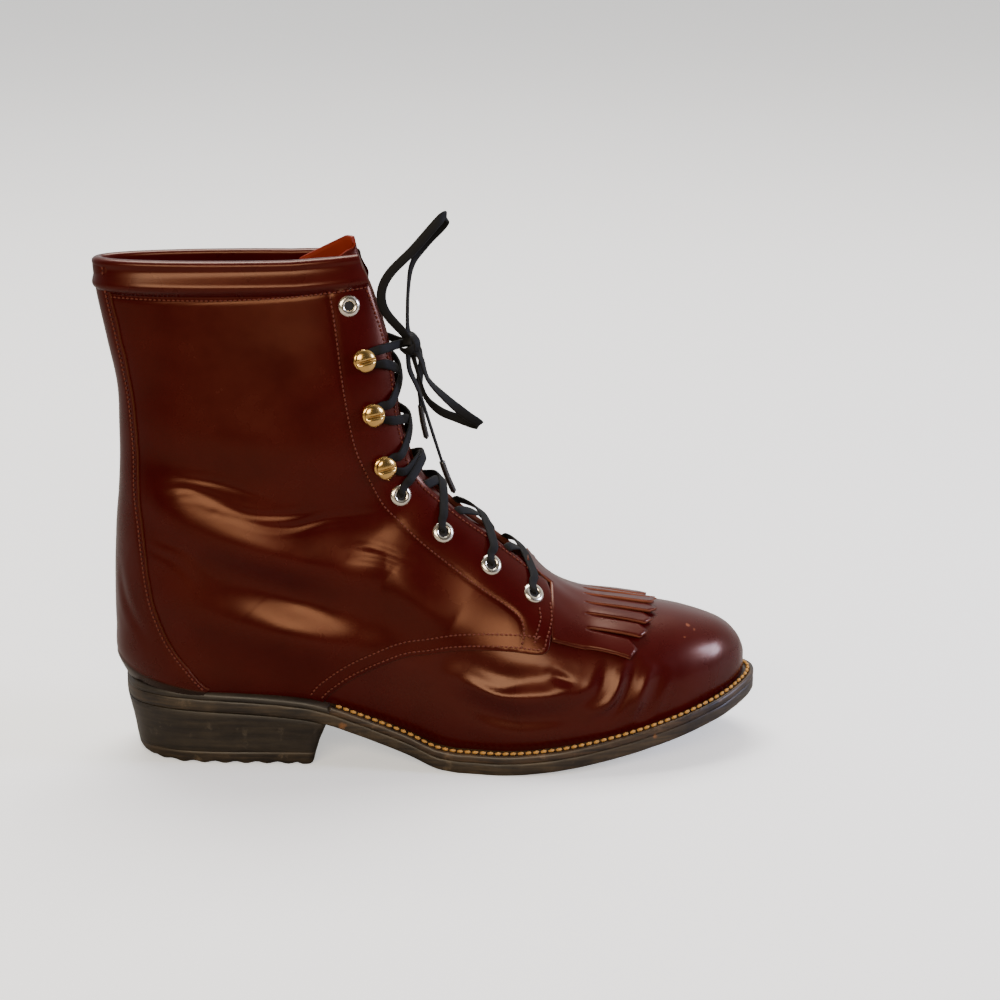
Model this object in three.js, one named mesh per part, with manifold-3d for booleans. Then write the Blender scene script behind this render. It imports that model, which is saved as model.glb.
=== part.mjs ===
// Right packer boot: laced leather shaft boot with a fringed kiltie, a stitched welt and a stacked heel.
// Millimetres. +X runs to the toe, +Y to the inner side of the foot, +Z up.
// The origin lies under the middle of the boot, on the ground.
import * as THREE from 'three';
import { mergeVertices } from 'three/addons/utils/BufferGeometryUtils.js';
import Module from 'manifold-3d';

const wasm = await Module();
wasm.setup();

// Driving dimensions
const SOLE_LENGTH = 304;
const BALL_WIDTH = 102;
const WELT_REACH = 5;
const OUTSOLE_THICKNESS = 6;
const WELT_THICKNESS = 3.8;
const WELT_BAND = 14;
const TOE_SPRING = 24;
const HEEL_LIFT = 29;
const HEEL_LENGTH = 90;
const BREAST_RAKE = 7;
const HEEL_TAPER = 4;
const TOP_LIFT_THICKNESS = 6.5;
const LUG_PITCH = 10;
const LUG_DEPTH = 1.4;
const TREAD_START = 158;
const TREAD_END = 178;

const COLLAR_HEIGHT = 239;
const COLLAR_PEAK = 4;
const ANKLE_WIDTH = 66;
const WALL = 2.2;
const QUARTER_STEP = 1.2;
const OVERLAY_THICKNESS = 1.2;
const COLLAR_BAND = 12.5;
const THROAT_HALF_GAP = 9;
const THROAT_DEPTH = 17;

const TONGUE_THICKNESS = 1.8;
const TONGUE_HALF_WIDTH = 21;
const TONGUE_PEAK = 10;
const TONGUE_SETBACK = 30;
const KILTIE_THICKNESS = 1.6;
const KILTIE_LENGTH = 52;
const KILTIE_HALF_WIDTH = 34;
const KILTIE_STRIPS = 9;
const KILTIE_NECK = 12;
const KILTIE_STEP = 4;
const SLIT_WIDTH = 0.9;
const INSOLE_THICKNESS = 3;

const EYELET_RADIUS = 5.6;
const EYELET_HOLE = 2.2;
const EYELET_HEIGHT = 1.4;
const BARREL_WALL = 0.6;
const EYELET_INSET = 12.5;
const HOOK_WIDTH = 10;
const HOOK_DEPTH = 9.5;
const HOOK_HEIGHT = 4.6;
const HOOK_METAL = 0.9;
const LACE_DIAMETER = 3;
const KNOT_RADIUS = 5.5;
const CLEARANCE = 0.3;
const FACING_SEAT = 0.5;

// Sizes that follow from them
const FOOT_WIDTH = BALL_WIDTH - 2 * WELT_REACH;
const EDGE_THICKNESS = OUTSOLE_THICKNESS + WELT_THICKNESS;
const HEEL_SEAT = HEEL_LIFT + EDGE_THICKNESS;
const UPPER_HEIGHT = COLLAR_HEIGHT - HEEL_SEAT;
const LACE_RADIUS = LACE_DIAMETER / 2;

// How far the rear end of a foot section reaches under the feather line, where the sole cuts it off
const SINK = 11;

// Rise of the outsole's underside behind the tread: run as a share of TREAD_START, rise of HEEL_LIFT
const SHANK_RISE = [
  { run: 0, rise: 0 },
  { run: 0.05, rise: 0.04 },
  { run: 0.15, rise: 0.27 },
  { run: 0.29, rise: 0.56 },
  { run: 0.38, rise: 0.73 },
  { run: 0.46, rise: 0.83 },
  { run: 0.7, rise: 0.94 },
  { run: 0.97, rise: 0.995 },
  { run: 1.2, rise: 1 },
];
const SPRING_POWER = 1.5;

// Outline of the welted sole from above: x of SOLE_LENGTH from the heel's back, y of BALL_WIDTH
const SOLE_OUTLINE = [
  [0, 0], [0.007, 0.118], [0.026, 0.216], [0.072, 0.294], [0.138, 0.328], [0.217, 0.336],
  [0.283, 0.333], [0.349, 0.324], [0.431, 0.338], [0.513, 0.392], [0.595, 0.461], [0.661, 0.495],
  [0.697, 0.503], [0.76, 0.497], [0.826, 0.461], [0.882, 0.402], [0.938, 0.324], [0.972, 0.235],
  [0.992, 0.147], [1, 0.049], [0.994, -0.044], [0.975, -0.137], [0.941, -0.245], [0.885, -0.35],
  [0.826, -0.42], [0.76, -0.471], [0.697, -0.5], [0.661, -0.505], [0.595, -0.493], [0.513, -0.446],
  [0.431, -0.397], [0.349, -0.368], [0.283, -0.353], [0.217, -0.341], [0.138, -0.328],
  [0.072, -0.294], [0.026, -0.216], [0.007, -0.118],
];

// Rows of a table as objects with one key for each column
const table = (columns, rows) => rows.map(
  (row) => Object.fromEntries(columns.map((name, i) => [name, row[i]])),
);

// Sections of the foot from the toe back. x of SOLE_LENGTH, frontZ of UPPER_HEIGHT above the feather
// line, half widths and mid of FOOT_WIDTH, full is where along the section it is widest.
const FOOT_SECTIONS = table([
  'rearX', 'frontX', 'frontZ', 'lateral', 'medial', 'mid', 'full', 'rearRound', 'frontRound',
], [
  [0.983, 0.983, 0.044, 0.011, 0.011, 0.054, 0.4, 3, 2.2],
  [0.98, 0.98, 0.063, 0.061, 0.061, 0.054, 0.4, 3, 2.2],
  [0.97, 0.971, 0.094, 0.133, 0.133, 0.054, 0.38, 3.4, 2.2],
  [0.951, 0.952, 0.13, 0.209, 0.209, 0.05, 0.36, 3.6, 2.2],
  [0.918, 0.924, 0.162, 0.286, 0.286, 0.041, 0.35, 4, 2.2],
  [0.865, 0.872, 0.205, 0.376, 0.376, 0.03, 0.34, 4, 2.2],
  [0.783, 0.796, 0.251, 0.465, 0.465, 0.02, 0.34, 4, 2.1],
  [0.684, 0.711, 0.302, 0.503, 0.5, 0.009, 0.34, 4, 2],
  [0.605, 0.665, 0.354, 0.492, 0.462, 0, 0.34, 4, 1.9],
  [0.513, 0.622, 0.426, 0.442, 0.397, 0, 0.34, 4, 1.8],
  [0.401, 0.576, 0.494, 0.389, 0.342, 0, 0.35, 4, 1.8],
  [0.276, 0.533, 0.547, 0.37, 0.354, 0, 0.35, 4, 1.85],
]);

// Sections round the heel and up the shaft. x of SOLE_LENGTH, z of UPPER_HEIGHT above the heel seat,
// width is the half width as a share of ANKLE_WIDTH. Where rearZ is null the row ends under the feather line.
const SHAFT_SECTIONS = table([
  'rearX', 'rearZ', 'frontX', 'frontZ', 'width', 'full', 'rearRound', 'frontRound',
], [
  [0.151, null, 0.503, 0.448, 0.509, 0.33, 3.8, 1.9],
  [0.053, null, 0.487, 0.478, 0.503, 0.31, 3, 1.9],
  [-0.001, 0.035, 0.475, 0.505, 0.491, 0.33, 2.2, 1.9],
  [-0.005, 0.125, 0.464, 0.54, 0.482, 0.35, 2.2, 1.9],
  [-0.004, 0.245, 0.454, 0.58, 0.467, 0.38, 2.2, 2],
  [0, 0.355, 0.446, 0.63, 0.448, 0.42, 2.2, 2],
  [0.009, 0.47, 0.439, 0.69, 0.418, 0.45, 2.2, 2],
  [0.013, 0.595, 0.431, 0.755, 0.379, 0.47, 2.2, 2.1],
  [0.013, 0.705, 0.421, 0.828, 0.333, 0.48, 2.2, 2.1],
  [0, 0.82, 0.408, 0.91, 0.279, 0.49, 2.2, 2.1],
  [-0.014, 0.945, 0.393, 0.995, 0.23, 0.5, 2.2, 2.1],
  [-0.018, 1.055, 0.38, 1.085, 0.203, 0.5, 2.2, 2.1],
]);

// Front and lower edge of the quarters: x of SOLE_LENGTH, z of UPPER_HEIGHT above the feather line
const QUARTER_EDGE = [
  [0.628, 0.62], [0.64, 0.4], [0.66, 0.355], [0.671, 0.316], [0.673, 0.285], [0.665, 0.25], [0.655, 0.225],
  [0.611, 0.236], [0.565, 0.241], [0.519, 0.24], [0.48, 0.22], [0.441, 0.185], [0.403, 0.142],
  [0.368, 0.097], [0.34, 0.053], [0.316, 0.007], [0.3, -0.06],
];

// Front edge of the back strap, which widens into the heel counter: shares above the heel seat
const STRAP_EDGE = [
  [0.004, 0.99], [0.007, 0.933], [0.022, 0.818], [0.037, 0.679], [0.041, 0.562], [0.043, 0.446],
  [0.049, 0.33], [0.058, 0.213], [0.079, 0.118], [0.109, 0.052], [0.131, 0.013], [0.16, -0.03],
];

// Stations of the lacing, counted in sections from the toe
const EYELET_STATIONS = [8.4, 9.66, 11.1, 13.6, 20.97];
const HOOK_STATIONS = [15.5, 17.7, 19.46];
const TOP_BAR_STATION = 19.55;
const THROAT_STATION = 8;

// Lofts: steps along the boot and in a quarter turn, stations that an offset also moves forward, least size
const STATION_COUNT = 32;
const RING_STEPS = 5;
const TIP_STATIONS = 5;
const LEAST_HALF_WIDTH = 0.2;

const leather = (color, roughness) => new THREE.MeshStandardMaterial({ color, roughness, metalness: 0 });
const materials = {
  oxblood: leather(0x3e1410, 0.28),
  oxbloodDark: leather(0x32100d, 0.32),
  lining: leather(0x8e2417, 0.6),
  insole: leather(0x8a6242, 0.75),
  sole: leather(0x1c1613, 0.6),
  heel: leather(0x251c17, 0.55),
  welt: leather(0x2e1e16, 0.5),
  nickel: new THREE.MeshStandardMaterial({ color: 0xd8d2c4, roughness: 0.25, metalness: 0.95 }),
  brass: new THREE.MeshStandardMaterial({ color: 0xb08a45, roughness: 0.3, metalness: 0.95 }),
  lace: new THREE.MeshStandardMaterial({ color: 0x14100e, roughness: 0.85, metalness: 0 }),
};

const boot = new THREE.Group();
const freeLaces = new THREE.Group();

// Solids and meshes

function toSolid(geometry) {
  const bare = new THREE.BufferGeometry();
  bare.setAttribute('position', geometry.getAttribute('position').clone());
  if (geometry.index) bare.setIndex(geometry.index.clone());
  const merged = mergeVertices(bare, 1e-4);
  const vertProperties = new Float32Array(merged.getAttribute('position').array);
  const triVerts = new Uint32Array(merged.index.array);
  return new wasm.Manifold(new wasm.Mesh({ numProp: 3, vertProperties, triVerts }));
}

function toGeometry(solid) {
  const { vertProperties, triVerts } = solid.getMesh();
  const geometry = new THREE.BufferGeometry();
  geometry.setAttribute('position', new THREE.BufferAttribute(new Float32Array(vertProperties), 3));
  geometry.setIndex(new THREE.BufferAttribute(new Uint32Array(triVerts), 1));
  geometry.computeVertexNormals();
  return geometry;
}

function addNode(name, geometry, material, group = boot) {
  const mesh = new THREE.Mesh(geometry, material);
  mesh.name = name;
  group.add(mesh);
  return mesh;
}

// A closed loft through rings that all have the same number of points
function loft(rings) {
  const count = rings[0].length;
  const positions = [];
  const triangles = [];
  const centreOf = (ring) => ring.reduce((sum, p) => sum.add(p), new THREE.Vector3()).divideScalar(count);
  rings.forEach((ring) => ring.forEach((p) => positions.push(p.x, p.y, p.z)));
  for (let i = 0; i + 1 < rings.length; i += 1) {
    for (let j = 0; j < count; j += 1) {
      const a = i * count + j;
      const b = i * count + ((j + 1) % count);
      triangles.push(a, b, a + count, b, b + count, a + count);
    }
  }
  const first = positions.length / 3;
  const start = centreOf(rings[0]);
  const end = centreOf(rings[rings.length - 1]);
  positions.push(start.x, start.y, start.z, end.x, end.y, end.z);
  const last = (rings.length - 1) * count;
  for (let j = 0; j < count; j += 1) {
    const k = (j + 1) % count;
    triangles.push(first, k, j);
    triangles.push(first + 1, last + j, last + k);
  }
  const geometry = new THREE.BufferGeometry();
  geometry.setAttribute('position', new THREE.BufferAttribute(new Float32Array(positions), 3));
  geometry.setIndex(triangles);
  const solid = toSolid(geometry);
  if (solid.volume() >= 0) return solid;
  geometry.setIndex(triangles.reverse());
  return toSolid(geometry);
}

// A side outline of [x, z] points made as thick as two half widths across the boot
function sidePrism(points, halfWidth) {
  const shape = new THREE.Shape(points.map(([x, z]) => new THREE.Vector2(x, z)));
  const geometry = new THREE.ExtrudeGeometry(shape, { depth: 2 * halfWidth, bevelEnabled: false });
  geometry.rotateX(Math.PI / 2);
  geometry.translate(0, halfWidth, 0);
  return toSolid(geometry);
}

// An outline of [x, y] points seen from above, between two heights
function planPrism(points, low, high) {
  const shape = new THREE.Shape(points.map(([x, y]) => new THREE.Vector2(x, y)));
  const geometry = new THREE.ExtrudeGeometry(shape, { depth: high - low, bevelEnabled: false });
  geometry.translate(0, 0, low);
  return toSolid(geometry);
}

// A tube with flat ends along a smooth curve through hand-placed points
function tube(points, radius, steps, sides = 8) {
  const curve = new THREE.CatmullRomCurve3(points);
  const section = new THREE.Shape();
  for (let i = 0; i < sides; i += 1) {
    const angle = (2 * Math.PI * i) / sides;
    const x = radius * Math.cos(angle);
    const y = radius * Math.sin(angle);
    if (i === 0) section.moveTo(x, y);
    else section.lineTo(x, y);
  }
  section.closePath();
  return new THREE.ExtrudeGeometry(section, { steps, extrudePath: curve, bevelEnabled: false });
}

// The sole's lines

// Smooth curve through rows that keeps level where the rows are level
function through(xs, ys, x) {
  const slopes = xs.slice(1).map((value, i) => (ys[i + 1] - ys[i]) / (value - xs[i]));
  const tangent = (i) => {
    if (i === 0) return slopes[0];
    if (i === xs.length - 1) return slopes[i - 1];
    const [a, b] = [slopes[i - 1], slopes[i]];
    return a * b <= 0 ? 0 : (2 * a * b) / (a + b);
  };
  let i = xs.findIndex((value) => value > x) - 1;
  if (i === -2) i = xs.length - 2;
  i = Math.max(i, 0);
  const h = xs[i + 1] - xs[i];
  const t = THREE.MathUtils.clamp((x - xs[i]) / h, 0, 1);
  const s = 1 - t;
  return ys[i] * (1 + 2 * t) * s * s + tangent(i) * h * t * s * s
    + ys[i + 1] * t * t * (3 - 2 * t) + tangent(i + 1) * h * t * t * (t - 1);
}

function underside(x) {
  if (x > TREAD_END) {
    const run = (x - TREAD_END) / (SOLE_LENGTH - TREAD_END);
    return TOE_SPRING * run ** SPRING_POWER;
  }
  if (x >= TREAD_START) return 0;
  const runs = SHANK_RISE.map((row) => row.run);
  const rises = SHANK_RISE.map((row) => row.rise);
  return HEEL_LIFT * through(runs, rises, (TREAD_START - x) / TREAD_START);
}

const featherLine = (x) => underside(x) + EDGE_THICKNESS + CLEARANCE;

// Points of the sole's side outlines, as shares of the lengths behind and ahead of the tread
const SHANK_RUNS = [-0.076, 0, 0.152, 0.304, 0.418, 0.506, 0.582, 0.658, 0.722, 0.785, 0.848, 0.899, 0.949];
const SPRING_RUNS = [0.1, 0.22, 0.36, 0.5, 0.64, 0.78, 0.9, 1, 1.06];
const LINE_XS = [
  ...SHANK_RUNS.map((run) => run * TREAD_START),
  TREAD_START,
  TREAD_END,
  ...SPRING_RUNS.map((run) => TREAD_END + run * (SOLE_LENGTH - TREAD_END)),
];

// Side outline of a layer between two heights above the outsole's underside
function layer(low, high, halfWidth = BALL_WIDTH) {
  const lower = LINE_XS.map((x) => [x, underside(x) + low]);
  const upper = LINE_XS.map((x) => [x, underside(x) + high]).reverse();
  return sidePrism(lower.concat(upper), halfWidth);
}

// The sole outline moved inwards by a distance, as [x, y] points
function soleOutline(inset = 0, samples = 60) {
  const corners = SOLE_OUTLINE.map(([x, y]) => new THREE.Vector3(x * SOLE_LENGTH, y * BALL_WIDTH, 0));
  const curve = new THREE.CatmullRomCurve3(corners, true);
  const points = [];
  for (let i = 0; i < samples; i += 1) {
    const p = curve.getPointAt(i / samples);
    const along = curve.getTangentAt(i / samples);
    points.push([p.x + inset * along.y, p.y - inset * along.x]);
  }
  return points;
}

function half(points, keep) {
  const across = BALL_WIDTH;
  const edge = HEEL_LENGTH + BREAST_RAKE;
  const far = SOLE_LENGTH + across;
  const block = keep === 'heel'
    ? [[-across, -across], [edge, -across], [edge, across], [-across, across]]
    : [[edge + CLEARANCE, -across], [far, -across], [far, across], [edge + CLEARANCE, across]];
  const reach = HEEL_SEAT + TOE_SPRING + UPPER_HEIGHT;
  return planPrism(points, -reach, reach).intersect(planPrism(block, -reach, reach));
}

// The upper's form

function controlRows() {
  const foot = FOOT_SECTIONS.map((row) => ({
    rearX: row.rearX * SOLE_LENGTH,
    rearZ: featherLine(row.rearX * SOLE_LENGTH) - SINK,
    frontX: row.frontX * SOLE_LENGTH,
    frontZ: featherLine(row.frontX * SOLE_LENGTH) + row.frontZ * UPPER_HEIGHT,
    lateral: row.lateral * FOOT_WIDTH,
    medial: row.medial * FOOT_WIDTH,
    mid: row.mid * FOOT_WIDTH,
    full: row.full,
    rearRound: row.rearRound,
    frontRound: row.frontRound,
  }));
  const shaft = SHAFT_SECTIONS.map((row) => ({
    rearX: row.rearX * SOLE_LENGTH,
    rearZ: row.rearZ === null
      ? featherLine(row.rearX * SOLE_LENGTH) - SINK
      : HEEL_SEAT + row.rearZ * UPPER_HEIGHT,
    frontX: row.frontX * SOLE_LENGTH,
    frontZ: HEEL_SEAT + row.frontZ * UPPER_HEIGHT,
    lateral: row.width * ANKLE_WIDTH,
    medial: row.width * ANKLE_WIDTH,
    mid: 0,
    full: row.full,
    rearRound: row.rearRound,
    frontRound: row.frontRound,
  }));
  return foot.concat(shaft);
}

const ROWS = controlRows();
const LAST_STATION = ROWS.length - 1;

// Every column of the section table at a station between two rows
function section(station) {
  const i = Math.min(Math.floor(station), LAST_STATION - 1);
  const t = station - i;
  const columns = Object.keys(ROWS[0]);
  const values = columns.map((column) => {
    const at = (k) => ROWS[k][column];
    const before = i > 0 ? at(i - 1) : 2 * at(i) - at(i + 1);
    const after = i + 2 <= LAST_STATION ? at(i + 2) : 2 * at(i + 1) - at(i);
    return 0.5 * (2 * at(i) + (at(i + 1) - before) * t
      + (2 * before - 5 * at(i) + 4 * at(i + 1) - after) * t * t
      + (3 * at(i) - before - 3 * at(i + 1) + after) * t * t * t);
  });
  return Object.fromEntries(columns.map((column, k) => [column, values[k]]));
}

// Ends of a section pushed outwards by an offset, and its direction from rear to front
function sectionLine(station, offset) {
  const row = section(station);
  const rear = new THREE.Vector3(row.rearX, row.mid, row.rearZ);
  const front = new THREE.Vector3(row.frontX, row.mid, row.frontZ);
  const direction = front.clone().sub(rear).normalize();
  const nearTip = THREE.MathUtils.clamp(1 - station / TIP_STATIONS, 0, 1);
  const forward = new THREE.Vector3(offset * nearTip, 0, 0);
  rear.addScaledVector(direction, -offset).add(forward);
  front.addScaledVector(direction, offset).add(forward);
  return {
    rear,
    front,
    direction,
    lateral: Math.max(row.lateral + offset, LEAST_HALF_WIDTH),
    medial: Math.max(row.medial + offset, LEAST_HALF_WIDTH),
    full: row.full,
    rearRound: row.rearRound,
    frontRound: row.frontRound,
  };
}

function ringPoint(line, angle) {
  const along = -Math.cos(angle);
  const across = Math.sin(angle);
  const round = along < 0 ? line.rearRound : line.frontRound;
  const reach = Math.abs(along) ** (2 / round);
  const share = along < 0 ? line.full * (1 - reach) : line.full + (1 - line.full) * reach;
  const width = Math.abs(across) ** (2 / round) * (across < 0 ? -line.lateral : line.medial);
  const point = line.rear.clone().lerp(line.front, share);
  point.y += width;
  return point;
}

// The whole closed form of foot and shaft, larger or smaller by an offset
function form(offset) {
  const rings = [];
  for (let i = 0; i <= STATION_COUNT; i += 1) {
    const line = sectionLine((LAST_STATION * i) / STATION_COUNT, offset);
    const ring = [];
    for (let j = 0; j < 4 * RING_STEPS; j += 1) ring.push(ringPoint(line, (Math.PI * j) / (2 * RING_STEPS)));
    rings.push(ring);
  }
  return loft(rings);
}

// A point on the front half of a section, at a distance to one side of the middle
function onFront(station, y, offset = 0) {
  const line = sectionLine(station, offset);
  const width = y < 0 ? line.lateral : line.medial;
  const off = Math.min(Math.abs(y - line.front.y) / width, 1);
  const reach = (1 - off ** line.frontRound) ** (1 / line.frontRound);
  const point = line.rear.clone().lerp(line.front, line.full + (1 - line.full) * reach);
  point.y = y;
  return point;
}

// Place on the facing a given way round the leather from the throat's edge, with its directions
function onFacing(station, side, inset) {
  const step = EYELET_INSET / 200;
  const nearby = 0.1;
  let y = THROAT_HALF_GAP;
  let walked = 0;
  let here = onFront(station, side * y, QUARTER_STEP);
  while (walked < inset) {
    y += step;
    const next = onFront(station, side * y, QUARTER_STEP);
    walked += next.distanceTo(here);
    here = next;
  }
  const ahead = onFront(station + nearby, side * y, QUARTER_STEP);
  const behind = onFront(station - nearby, side * y, QUARTER_STEP);
  const up = ahead.sub(behind).normalize();
  const inwards = onFront(station, side * (y - 4 * step), QUARTER_STEP).sub(here).normalize();
  const normal = up.clone().cross(inwards).multiplyScalar(side).normalize();
  if (normal.y * side < 0) normal.negate();
  return { point: here, up, normal, inwards };
}

function frameAt({ point, up, normal }, lift) {
  const across = up.clone().cross(normal).normalize();
  const matrix = new THREE.Matrix4().makeBasis(across, up.clone(), normal);
  matrix.setPosition(point.clone().addScaledVector(normal, lift));
  return matrix;
}

// Side outline of a band that follows the front ridge between two stations
function ridgeBand(from, to, depth, reach) {
  const outer = [];
  const inner = [];
  for (let station = from; station <= to + 1e-6; station += 0.5) {
    const { front, direction } = sectionLine(station, 0);
    outer.push([front.x + direction.x * reach, front.z + direction.z * reach]);
    inner.push([front.x - direction.x * depth, front.z - direction.z * depth]);
  }
  return outer.concat(inner.reverse());
}

const aboveHeel = ([x, z]) => [x * SOLE_LENGTH, HEEL_SEAT + z * UPPER_HEIGHT];
const aboveFeather = ([x, z]) => [x * SOLE_LENGTH, featherLine(x * SOLE_LENGTH) + z * UPPER_HEIGHT];

// Everything above the collar's edge, which is level at the back and rises towards the throat
const COLLAR_LEVEL_SHARE = 0.7;
function aboveCollar(drop = 0) {
  const top = COLLAR_HEIGHT - drop;
  const frontX = ROWS[LAST_STATION - 1].frontX;
  const high = COLLAR_HEIGHT + UPPER_HEIGHT;
  return sidePrism([
    [-FOOT_WIDTH, top], [frontX * COLLAR_LEVEL_SHARE, top], [frontX, top + COLLAR_PEAK],
    [frontX + FOOT_WIDTH, top + COLLAR_PEAK], [frontX + FOOT_WIDTH, high], [-FOOT_WIDTH, high],
  ], BALL_WIDTH);
}

const belowFeather = () => layer(-SINK - HEEL_SEAT, EDGE_THICKNESS + CLEARANCE);
const throatCut = (halfGap) => sidePrism(
  ridgeBand(THROAT_STATION, LAST_STATION, THROAT_DEPTH, THROAT_DEPTH),
  halfGap,
);

function quarterPrism() {
  const edge = QUARTER_EDGE.map(aboveFeather);
  const high = COLLAR_HEIGHT + FOOT_WIDTH;
  const far = [[-FOOT_WIDTH, -HEEL_SEAT], [-FOOT_WIDTH, high], [edge[0][0], high]];
  return sidePrism(edge.concat(far), BALL_WIDTH);
}

function strapPrism() {
  const edge = STRAP_EDGE.map(aboveHeel);
  return sidePrism(edge.concat([[-FOOT_WIDTH, -HEEL_SEAT], [-FOOT_WIDTH, edge[0][1]]]), BALL_WIDTH);
}

function makeUpper() {
  const skin = form(0).add(form(QUARTER_STEP).intersect(quarterPrism()));
  let upper = skin
    .subtract(form(-WALL))
    .subtract(belowFeather())
    .subtract(aboveCollar())
    .subtract(throatCut(THROAT_HALF_GAP));
  const radius = EYELET_HOLE + BARREL_WALL + CLEARANCE;
  for (const station of EYELET_STATIONS) {
    for (const side of [-1, 1]) {
      const hole = new THREE.CylinderGeometry(radius, radius, 4 * (WALL + QUARTER_STEP), 10);
      hole.rotateX(Math.PI / 2);
      hole.applyMatrix4(frameAt(onFacing(station, side, EYELET_INSET), 0));
      upper = upper.subtract(toSolid(hole));
    }
  }
  addNode('upper', toGeometry(upper), materials.oxblood);
}

function makeOverlays() {
  const low = QUARTER_STEP + CLEARANCE;
  const skin = form(low + OVERLAY_THICKNESS).subtract(form(low));
  const strap = skin
    .intersect(strapPrism())
    .subtract(belowFeather())
    .subtract(aboveCollar(COLLAR_BAND + CLEARANCE));
  addNode('back_strap', toGeometry(strap), materials.oxbloodDark);
  const bandLow = sidePrism([
    [-FOOT_WIDTH, -HEEL_SEAT], [SOLE_LENGTH, -HEEL_SEAT], [SOLE_LENGTH, COLLAR_HEIGHT - COLLAR_BAND],
    [-FOOT_WIDTH, COLLAR_HEIGHT - COLLAR_BAND],
  ], BALL_WIDTH);
  const band = skin.subtract(bandLow).subtract(aboveCollar()).subtract(throatCut(THROAT_HALF_GAP + WALL));
  addNode('collar_band', toGeometry(band), materials.oxblood);
}

function makeSole() {
  const outline = soleOutline();
  const outer = planPrism(outline, -SOLE_LENGTH, SOLE_LENGTH);
  const outsole = outer.intersect(layer(0, OUTSOLE_THICKNESS));
  addNode('outsole', toGeometry(outsole), materials.sole);
  const rim = layer(OUTSOLE_THICKNESS + CLEARANCE, EDGE_THICKNESS);
  const ring = rim.subtract(planPrism(soleOutline(WELT_BAND), -SOLE_LENGTH, SOLE_LENGTH));
  addNode('welt', toGeometry(ring.intersect(half(outline, 'fore'))), materials.welt);
  addNode('heel_seat_rand', toGeometry(rim.intersect(half(outline, 'heel'))), materials.heel);
}

function makeInsole() {
  const inside = form(-WALL - CLEARANCE);
  const low = EDGE_THICKNESS + CLEARANCE;
  const top = layer(low, low + INSOLE_THICKNESS).intersect(inside);
  const filler = layer(OUTSOLE_THICKNESS + CLEARANCE, low + CLEARANCE)
    .intersect(half(soleOutline(WELT_BAND + CLEARANCE), 'fore'))
    .intersect(inside);
  addNode('insole', toGeometry(top.add(filler)), materials.insole);
}

// A plan outline wider than the whole boot
const ALL_ROUND = [
  [-BALL_WIDTH, -BALL_WIDTH], [SOLE_LENGTH, -BALL_WIDTH],
  [SOLE_LENGTH, BALL_WIDTH], [-BALL_WIDTH, BALL_WIDTH],
];

// How much more the heel's back slopes than its sides, and half a tread groove as a share of LUG_PITCH
const BACK_TAPER = 1.3;
const GROOVE_SHARE = 0.2;

function makeHeel() {
  const bearing = ([x, y]) => Math.atan2(y, HEEL_LENGTH - x);
  const lateralFirst = soleOutline()
    .filter(([x]) => x <= HEEL_LENGTH)
    .sort((a, b) => bearing(a) - bearing(b));
  const ringAt = (z) => {
    const share = 1 - z / HEEL_LIFT;
    const inset = HEEL_TAPER * Math.max(share, 0);
    const points = lateralFirst.map(([x, y]) => {
      const pull = inset / (BALL_WIDTH / 2);
      return new THREE.Vector3(x + inset * BACK_TAPER * (1 - x / HEEL_LENGTH), y * (1 - pull), z);
    });
    const breast = HEEL_LENGTH + BREAST_RAKE * (1 - share);
    const first = points[0];
    const last = points[points.length - 1];
    return points.concat([new THREE.Vector3(breast, last.y, z), new THREE.Vector3(breast, first.y, z)]);
  };
  const block = loft([ringAt(0), ringAt(HEEL_LIFT * 1.2)]);
  const stack = block
    .subtract(layer(-CLEARANCE, HEEL_SEAT))
    .intersect(planPrism(ALL_ROUND, TOP_LIFT_THICKNESS + CLEARANCE, COLLAR_HEIGHT));
  addNode('heel_stack', toGeometry(stack), materials.heel);
  let lift = block.intersect(planPrism(ALL_ROUND, 0, TOP_LIFT_THICKNESS));
  for (let x = LUG_PITCH * 1.5; x < HEEL_LENGTH - LUG_PITCH / 2; x += LUG_PITCH) {
    const wide = LUG_PITCH * GROOVE_SHARE;
    const groove = [
      [x - wide, -LUG_DEPTH], [x + wide, -LUG_DEPTH], [x + wide, 0], [x, LUG_DEPTH], [x - wide, 0],
    ];
    lift = lift.subtract(sidePrism(groove, BALL_WIDTH));
  }
  addNode('heel_top_lift', toGeometry(lift), materials.sole);
}

// Where the tongue's top edge starts to rise and is full, as shares of the shaft's depth
const TONGUE_TOP = { low: 0.6, full: 0.93 };

function makeTongue() {
  const outer = form(-WALL - CLEARANCE);
  const inner = form(-WALL - CLEARANCE - TONGUE_THICKNESS);
  const front = ridgeBand(THROAT_STATION - 1, LAST_STATION, TONGUE_SETBACK, TONGUE_PEAK);
  const band = sidePrism(front, TONGUE_HALF_WIDTH);
  const frontX = ROWS[LAST_STATION - 1].frontX;
  const high = COLLAR_HEIGHT + TONGUE_PEAK;
  const cut = sidePrism([
    [frontX * TONGUE_TOP.low, COLLAR_HEIGHT - TONGUE_PEAK], [frontX * TONGUE_TOP.full, high],
    [frontX + FOOT_WIDTH, high],
    [frontX + FOOT_WIDTH, COLLAR_HEIGHT + UPPER_HEIGHT], [-FOOT_WIDTH, COLLAR_HEIGHT + UPPER_HEIGHT],
    [-FOOT_WIDTH, COLLAR_HEIGHT - TONGUE_PEAK],
  ], BALL_WIDTH);
  addNode('tongue', toGeometry(outer.subtract(inner).intersect(band).subtract(cut)), materials.lining);
}

// Fringed flap on the vamp, with a neck that runs up between the facings
// Shares: where the slits start and how much shorter the outer strips are, of KILTIE_LENGTH;
// the strips' points, of their width
const KILTIE_SHAPE = { slitStart: 0.42, sideDrop: 0.28, point: 0.7 };

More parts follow.
